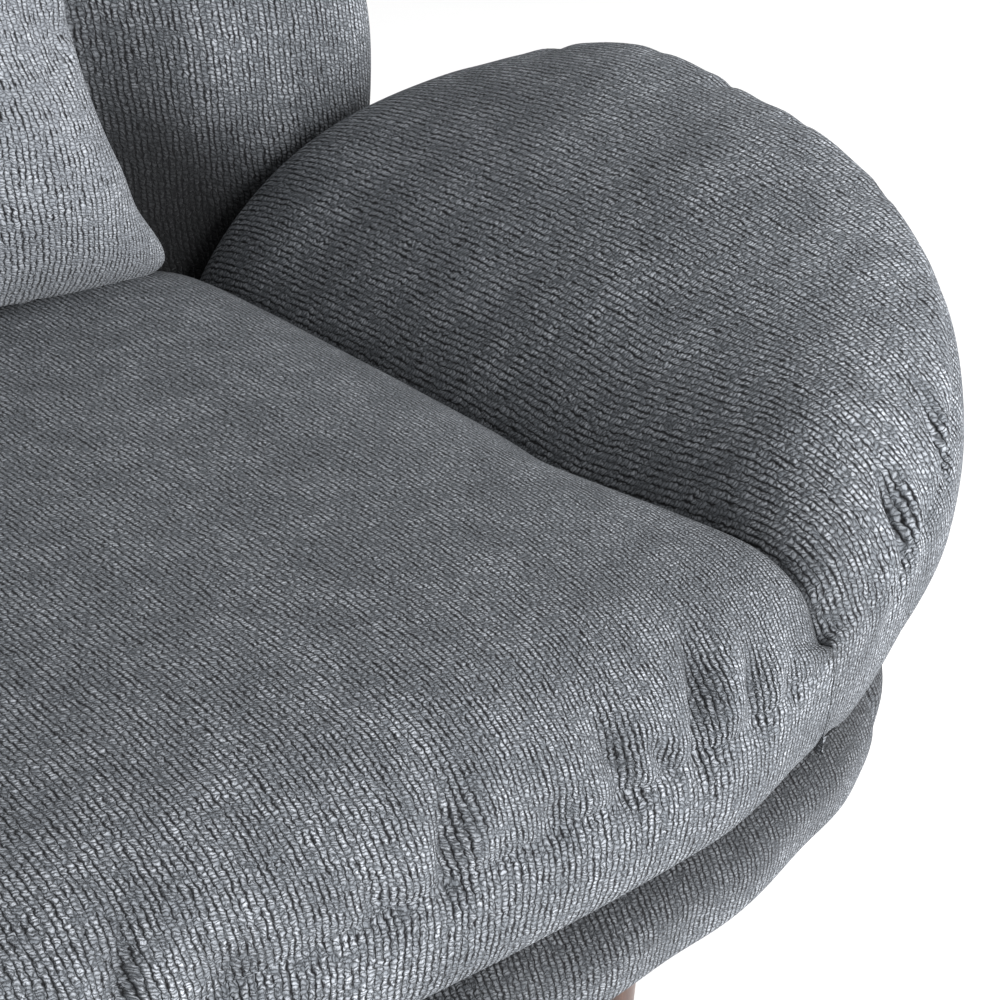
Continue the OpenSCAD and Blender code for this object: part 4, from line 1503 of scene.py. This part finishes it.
def inflate(piece: bpy.types.Object, pressure: float, frames: int, cap: float, hold: Callable) -> None:
    """Swell a closed cover with Blender's cloth and bake the result into its mesh.

    Args:
        piece: Closed cover.
        pressure: Inner pressure.
        frames: Simulated frames.
        cap: Most that a point may move, in millimetres.
        hold: Gives 1 for points that may not move outwards.
    """
    mesh = piece.data
    start = vertex_values(mesh, "co").astype(float)
    normals = vertex_values(mesh, "normal")
    cloth = piece.modifiers.new("swell", "CLOTH")
    cloth.settings.quality = 6
    cloth.settings.mass = 0.3
    cloth.settings.use_pressure = True
    cloth.settings.uniform_pressure_force = pressure
    cloth.settings.shrink_min = -0.035
    cloth.settings.tension_stiffness = 20
    cloth.settings.compression_stiffness = 20
    cloth.settings.bending_stiffness = 0.8
    cloth.settings.effector_weights.gravity = 0
    cloth.point_cache.frame_end = frames
    scene = bpy.context.scene
    for frame in range(1, frames + 1):
        scene.frame_set(frame)
    moved = vertex_values(piece.evaluated_get(bpy.context.evaluated_depsgraph_get()).data, "co")
    piece.modifiers.clear()
    scene.frame_set(1)
    shift = moved - start
    length = np.linalg.norm(shift, axis=1, keepdims=True)
    shift *= np.tanh(length / (cap * MM)) * cap * MM / np.maximum(length, 1e-9)
    out = np.maximum((shift * normals).sum(1, keepdims=True), 0)
    shift -= normals * out * hold(start / MM)[:, None]
    mesh.vertices.foreach_set("co", (start + shift).astype(np.float32).ravel())
    mesh.update()


# Lower tier, outside panels, hidden soft parts


@dataclass
class LowerTier:
    """Padded ring under the seat, in four panels that meet at upright seams."""

    plan: Outline
    cloth: bpy.types.Material
    inside: float = 29
    front_less: float = 8
    rear_d: float = 465
    thick: float = 28
    low: float = 184
    high: float = 255
    seam_at: float = 44
    seam: float = 0.05
    count: int = 230

    def outline(self, a: Array) -> tuple[Array, Array]:
        """Outline and outward direction at an angle."""
        p = self.plan
        w, front_d = p.half_w - self.inside, p.front_d - self.front_less
        ahead = np.sin(np.radians(a)) < 0
        place = p.oval(a, w, np.where(ahead, front_d, self.rear_d)) + np.array([0, p.mid_y])
        return place, np.where(ahead[..., None], p.oval_out(a, w, front_d), p.oval_out(a, w, self.rear_d))

    def panel(self, name: str, start: float, end: float) -> bpy.types.Object:
        """Loft one padded panel along the outline.

        Args:
            name: Name of the piece.
            start: Angle where it starts.
            end: Angle where it ends.

        Returns:
            The finished panel.
        """
        fine = start + self.seam + (end - start - 2 * self.seam) * np.linspace(0, 1, 4001)
        run = run_length(self.outline(fine)[0], 0)
        s = np.linspace(0, run[-1], self.count)
        place, out = self.outline(np.interp(s, run, fine))
        low, high = self.low, self.high
        tall = high - low
        # From the inner top edge over the padding to the inner lower edge: inset, height
        less, height = through(
            (
                (self.thick, high - 2), (19, high), (7, high - 0.11 * tall), (-3, high - 0.38 * tall),
                (-3, low + 0.3 * tall), (1, low + 0.1 * tall), (10, low), (self.thick, low + 3),
            ),
            7,
        ).T
        soft = 1.8 * waves(s[:, None], height * 1.4, 80 + int(abs(start)), 44) + 0.8
        padded = self.plan.drawn_ends(s) - soft * smooth(from_ends(s) / 25)[:, None]
        inset = less + padded * smooth((self.thick - less) / 16)
        height = np.clip(height, low, high)
        points = raised(place[:, None] - out[:, None] * inset[..., None], height)
        # Painted shadow of the band over the tier's top, and the cloth painted lighter lower down
        painted_light = 0.25 + 0.9 * smooth((high + 4 - height) / 75)
        inner = points[:, [-1, 0]]
        skin = Skin(name).add(self.plan.place(points), join(s[:, None], -run_length(points, 1)), painted_light=painted_light)
        return skin.add(self.plan.place(inner), inner[..., [0, 2]]).build(self.cloth)


@dataclass
class SidePanel:
    """Padded outside panel that stands under the band of each arm."""

    plan: Outline
    cloth: bpy.types.Material
    side: Side
    start: float = 0.14
    end: float = 0.965
    outer: float = 25
    inner: float = 49
    swell: float = 5
    edge_r: float = 9
    edge_in: float = 7
    headroom: float = 1.6
    count: int = 200

    def build(self) -> bpy.types.Object:
        """Loft the panel from front to rear.

        Returns:
            The finished panel.
        """
        p = self.plan
        run = ArmRun(p, self.start, self.end, self.count)
        w = np.linspace(0, 1, 56)
        tall = (run.z - p.seam_h - self.headroom - p.soft_z)[:, None]
        near = np.minimum(w, 1 - w)
        bulge = smooth(near / 0.2)
        corner = self.edge_in * (1 - round_in(near * tall, self.edge_r))
        soft = 1.8 * waves(run.s[:, None], w * tall, 90 + self.side.value, 60) * bulge
        inset = self.outer - self.swell * bulge - soft + corner + p.drawn_ends(run.s)
        height = p.soft_z + tall * w
        edge, inward = run.edge[:, None], run.inward[:, None]
        points = raised(edge + inward * inset[..., None], height)
        inner = raised(np.repeat(edge + inward * self.inner, 2, 1), height[:, [-1, 0]])
        loop = np.concatenate([points[:, -1:], inner, points[:, :1]], 1)
        skin = Skin(f"side_panel_cover_{self.side.word}")
        skin.add(p.place(points) * self.side.mirror, join(run.s[:, None] * self.side.value, height))
        return skin.add(p.place(loop) * self.side.mirror, loop[..., [1, 2]]).build(self.cloth)


def copy_of(node_name: str, name: str, nodes: dict, finish: bpy.types.Material) -> bpy.types.Object:
    """Start a soft piece from a CAD solid's own shape.

    Args:
        node_name: CAD node.
        name: Name of the new piece.
        nodes: The frame's nodes.
        finish: Its material.

    Returns:
        The new object with its own merged mesh.
    """
    mesh = nodes[node_name].data.copy()
    mesh.name = name
    work = bmesh.new()
    work.from_mesh(mesh)
    bmesh.ops.remove_doubles(work, verts=work.verts, dist=0.02 * MM)
    bmesh.ops.dissolve_limit(work, angle_limit=math.radians(1), verts=work.verts, edges=work.edges)
    work.to_mesh(mesh)
    work.free()
    mesh.materials.clear()
    mesh.materials.append(finish)
    for face in mesh.polygons:
        face.material_index = 0
    made = bpy.data.objects.new(name, mesh)
    bpy.context.scene.collection.objects.link(made)
    return made


def round_edges(piece: bpy.types.Object, width: float, steps: int = 4) -> bpy.types.Object:
    """Round a block's edges with an applied bevel.

    Args:
        piece: Block to round.
        width: Width of the rounding in millimetres.
        steps: Segments of the rounding.

    Returns:
        The same object.
    """
    bpy.ops.object.select_all(action="DESELECT")
    piece.select_set(True)
    bpy.context.view_layer.objects.active = piece
    bevel = piece.modifiers.new("round", "BEVEL")
    bevel.width, bevel.segments, bevel.limit_method = width * MM, steps, "ANGLE"
    bpy.ops.object.modifier_apply(modifier=bevel.name)
    bpy.ops.object.shade_smooth_by_angle(angle=math.radians(35))
    return piece


@dataclass
class HiddenSoftParts:
    """Foam cores, the felt pad on the springs and the dust cover."""

    nodes: dict
    foam_round: float = 12
    pad_round: float = 1.2
    sag: float = 2.4
    sag_half: tuple[float, float] = (440, 380)
    grid: float = 30
    cuts: int = 17
    drawn_in: float = 0.82

    def cores(self, finish: bpy.types.Material) -> list[tuple[bpy.types.Object, str]]:
        """Round the foam cores' edges, as cut foam under its wrap.

        Args:
            finish: The foam.

        Returns:
            Each core with its CAD node.
        """
        made = []
        for node_name in ("seat_foam", "arm_foam_left", "arm_foam_right", "back_foam", "pillow_fill"):
            core = copy_of(node_name, f"{node_name}_core", self.nodes, finish)
            if node_name == "pillow_fill":
                for vert in core.data.vertices:
                    vert.co.x *= self.drawn_in
            made.append((round_edges(core, self.foam_round), node_name))
        return made

    def pad(self, finish: bpy.types.Material) -> bpy.types.Object:
        """Make the felt pad with soft edges."""
        return round_edges(copy_of("spring_pad", "spring_pad_felt", self.nodes, finish), self.pad_round, 2)

    def dust_cover(self, finish: bpy.types.Material) -> bpy.types.Object:
        """Let the dust cover sag a little between the frame's edges.

        Args:
            finish: The lining.

        Returns:
            The finished sheet.
        """
        sheet = copy_of("dust_cover", "dust_cover_cloth", self.nodes, finish)
        work = bmesh.new()
        work.from_mesh(sheet.data)
        for way in (Vector((1, 0, 0)), Vector((0, 1, 0))):
            for i in range(-self.cuts, self.cuts + 1):
                parts = work.verts[:] + work.edges[:] + work.faces[:]
                bmesh.ops.bisect_plane(work, geom=parts, plane_co=way * (i * self.grid * MM), plane_no=way)
        for vert in work.verts:
            x, y = vert.co.x / MM, vert.co.y / MM
            inside = max(0.0, 1 - (x / self.sag_half[0]) ** 2) * max(0.0, 1 - (y / self.sag_half[1]) ** 2)
            vert.co.z -= self.sag * MM * inside * (0.7 + 0.3 * float(waves(x, y, 9, 80)))
        work.to_mesh(sheet.data)
        work.free()
        sheet.data.shade_smooth()
        return sheet


# Studio


def direction(azimuth: float, elevation: float) -> Vector:
    """Way from the chair, by degrees round it, 0 in front and 90 to the right, and above the floor."""
    a, e = math.radians(azimuth), math.radians(elevation)
    return Vector((math.sin(a) * math.cos(e), -math.cos(a) * math.cos(e), math.sin(e)))


@dataclass
class Studio:
    """Pale floor, white room, one soft light from the front right and the camera of the photograph."""

    floor_finish: bpy.types.Material
    camera_mm: tuple[float, float, float] = (-290.03, -940.61, 885.25)
    camera_way: tuple[float, float] = (-34.81, 30.91)
    lens: float = 64.57
    sensor: float = 36
    room_light: float = 0.82
    key_way: tuple[float, float] = (28, 14)
    key_far: float = 3.4
    key_size: float = 1.8
    key_power: float = 220
    aim_height: float = 0.4
    floor_size: float = 14

    def face_chair(self, name: str, data: bpy.types.ID, way: Vector, place: Vector) -> bpy.types.Object:
        """Place a camera or a light that looks towards the chair.

        Args:
            name: Name of the object.
            data: Camera or light.
            way: Way from the chair towards it.
            place: Where it stands, in metres.

        Returns:
            The new object.
        """
        made = bpy.data.objects.new(name, data)
        bpy.context.scene.collection.objects.link(made)
        made.location = place
        made.rotation_euler = (-way).to_track_quat("-Z", "Y").to_euler()
        return made

    def camera(self) -> None:
        """Place the camera as it was fitted to the photograph."""
        data = bpy.data.cameras.new("camera")
        data.sensor_width, data.lens, data.clip_start = self.sensor, self.lens, 0.05
        place = Vector(self.camera_mm) * MM
        bpy.context.scene.camera = self.face_chair("camera", data, direction(*self.camera_way), place)

    def light(self) -> None:
        """Light the white room and add the soft box at the front right."""
        world = bpy.data.worlds.new("white room")
        world.use_nodes = True
        world.node_tree.nodes["Background"].inputs[0].default_value = srgb("#ffffff")
        world.node_tree.nodes["Background"].inputs[1].default_value = self.room_light
        bpy.context.scene.world = world
        data = bpy.data.lights.new("key_front_right", "AREA")
        data.shape, data.size, data.energy = "DISK", self.key_size, self.key_power
        way = direction(*self.key_way)
        self.face_chair("key_front_right", data, way, way * self.key_far + Vector((0, 0, self.aim_height)))

    def build(self) -> None:
        """Make camera, lights and floor."""
        self.camera()
        self.light()
        bpy.context.scene.view_settings.view_transform = "Standard"
        bpy.ops.object.select_all(action="DESELECT")
        bpy.ops.mesh.primitive_plane_add(size=self.floor_size, location=(0, 0, 0))
        floor = bpy.context.object
        floor.name = "floor"
        floor.data.materials.append(self.floor_finish)


# The whole chair


FINISHES = {
    "cloth": RibbedChenille("ribbed chenille, knitted and brushed"),
    # The pillow's chenille is painted lighter than the chair's, as if more strongly lit
    "pillow_cloth": RibbedChenille(
        "ribbed chenille, painted lighter as if lit", tuft="#767a80", tip="#a3a7ad", sheen=0.15, height=1.1
    ),
    "lining": FeltLining("spun-bonded lining cloth"),
    "felt": FeltLining("needle felt", tint="#4a4744"),
    "foam": FeltLining("open-cell foam in fibre wrap", tint="#e3d8ae"),
    "leg_wood": Timber("turned beech, dark stain, satin lacquer", "#54382a", "#33201a", 0.38, 2, 7, 0.4),
    "timber_x": Timber("planed beech, raw, across", "#cfa874", "#b48a58", 0.65, 0),
    "timber_y": Timber("planed beech, raw, lengthways", "#cfa874", "#b48a58", 0.65, 1),
    "black_wood": Timber("beech, stained black", "#322f2c", "#1e1c1a", 0.6, 2),
    "plywood": BirchPly("birch plywood, stained black"),
    # Dull silver wire and fixings with faint spangle
    "steel": ClusteredSurface("zinc-plated steel", "#a9adb2", "#c3c6c9", 5.556, (0.28, 0.46), 1.0),
    # Near black and satin, scuffed where it slides
    "glide": ClusteredSurface("moulded nylon", "#1f2023", "#34363a", 4, (0.35, 0.6), detail=4.0),
    # Even and matt, a little off white
    "floor": ClusteredSurface("pale matt studio floor", "#fafafa", "#fdfdfd", 666.7, detail=2.0),
}
RIGID = {
    "leg_wood": ("leg_front_left", "leg_front_right", "leg_rear_left", "leg_rear_right"),
    "glide": ("leg_glides",),
    "steel": ("leg_studs", "tee_nuts", "rail_screws", "seat_springs", "spring_clips", "back_springs",
              "back_clips", "back_bolts"),
    "timber_x": ("front_rail", "rear_rail", "corner_blocks", "back_top_rail", "leg_blocks"),
    "timber_y": ("side_rail_left", "side_rail_right"),
    "black_wood": ("back_post_left", "back_post_right", "back_lower_rail"),
    "plywood": ("deck_board_front", "deck_board_rear", "deck_board_left", "deck_board_right",
                "arm_board_left", "arm_board_right"),
}


@dataclass
class Armchair:
    """The dressed chair: builds its sub-assemblies in order and hands each piece to the frame."""

    frame: dict
    finishes: dict[str, bpy.types.Material]
    pieces: list[str] = field(default_factory=list)

    def keep(
        self, piece: bpy.types.Object, slot: str, *nodes: str, body: str = "chair", fill: float | None = 0.7
    ) -> None:
        """Give a piece its body, hide the CAD nodes that it stands for and log it.

        Args:
            piece: The finished piece.
            slot: Material slot of the record; not used.
            *nodes: CAD nodes it replaces.
            body: Body it moves with.
            fill: How tightly it is stuffed, or None where it isn't padded; not used.
        """
        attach(piece, body)
        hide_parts(*nodes)
        self.pieces.append(piece.name)
        LOG.info("%s: %d faces, for %s", piece.name, len(piece.data.polygons), ", ".join(nodes))

    def build(self) -> None:
        """Build and dress everything."""
        plan = Outline()
        self.seat_and_arms(plan)
        self.back_and_tier(plan)
        pillow = LumbarPillow(plan, self.finishes["pillow_cloth"]).build()
        self.keep(pillow, "pillow_cloth", "lumbar_pillow", body="pillow", fill=0.75)
        self.hidden()
        self.rigid()

    def seat_and_arms(self, plan: Outline) -> None:
        """Make the seat, and each arm with its outside panel."""
        cloth, puckers = self.finishes["cloth"], Puckers(plan)
        self.keep(SeatCover(plan, puckers, cloth).build(), "cloth", "seat_cushion")
        for side in Side:
            arm, panel = ArmCover(plan, puckers, cloth, side).build(), SidePanel(plan, cloth, side).build()
            self.keep(arm, "cloth", f"arm_cushion_{side.word}", fill=0.85)
            self.keep(panel, "cloth", f"side_panel_{side.word}", fill=0.6)

    def back_and_tier(self, plan: Outline) -> None:
        """Make the back cushion, the outside back with its borders, and the lower tier."""
        cloth, back = self.finishes["cloth"], BackLean(plan)
        self.keep(BackCover(back, cloth).build(), "cloth", "back_cushion", fill=0.8)
        outside, tier = OutsideBack(back, cloth), LowerTier(plan, cloth)
        self.keep(outside.shell(), "cloth", "outside_back", fill=0.5)
        for word, start, end in (("right", -52, 40), ("left", 140, 232), ("top", 40, 140)):
            border = outside.border(f"back_border_cover_{word}", start, end)
            self.keep(border, "cloth", f"back_border_{word}", fill=0.4)
        at = tier.seam_at
        across = ("front", at - 180, -at), ("rear", at, 180 - at)
        beside = ("right", -at, at), ("left", 180 - at, 180 + at)
        for word, start, end in across + beside:
            panel = tier.panel(f"tier_cover_{word}", start, end)
            self.keep(panel, "cloth", f"tier_panel_{word}", fill=0.6)

    def hidden(self) -> None:
        """Make the soft parts inside and below."""
        soft = HiddenSoftParts(self.frame["nodes"])
        for core, node_name in soft.cores(self.finishes["foam"]):
            body = "pillow" if node_name == "pillow_fill" else "chair"
            self.keep(core, "foam", node_name, body=body, fill=0.95)
        self.keep(soft.pad(self.finishes["felt"]), "lining", "spring_pad", fill=0.9)
        deck = copy_of("deck_cover", "deck_cloth", self.frame["nodes"], self.finishes["lining"])
        dust = soft.dust_cover(self.finishes["lining"])
        sheets = (deck, "deck_cover", "deck_board_front"), (dust, "dust_cover", "front_rail")
        for sheet, node_name, rests in sheets:
            self.keep(sheet, "lining", node_name, fill=None)
            low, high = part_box(node_name)

    def rigid(self) -> None:
        """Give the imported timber, steel and plastic nodes their finishes."""
        for name, nodes in RIGID.items():
            for node_name in nodes:
                for slot in self.frame["nodes"][node_name].material_slots:
                    slot.material = self.finishes[name]


def main() -> None:
    """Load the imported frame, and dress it."""
    logging.basicConfig(level=logging.INFO, format="%(name)s: %(message)s")
    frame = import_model()
    finishes = {name: finish.material() for name, finish in FINISHES.items()}
    chair = Armchair(frame, finishes)
    chair.build()
    Studio(finishes["floor"]).build()
    LOG.info("%d soft pieces made", len(chair.pieces))


if __name__ == "__main__":
    main()
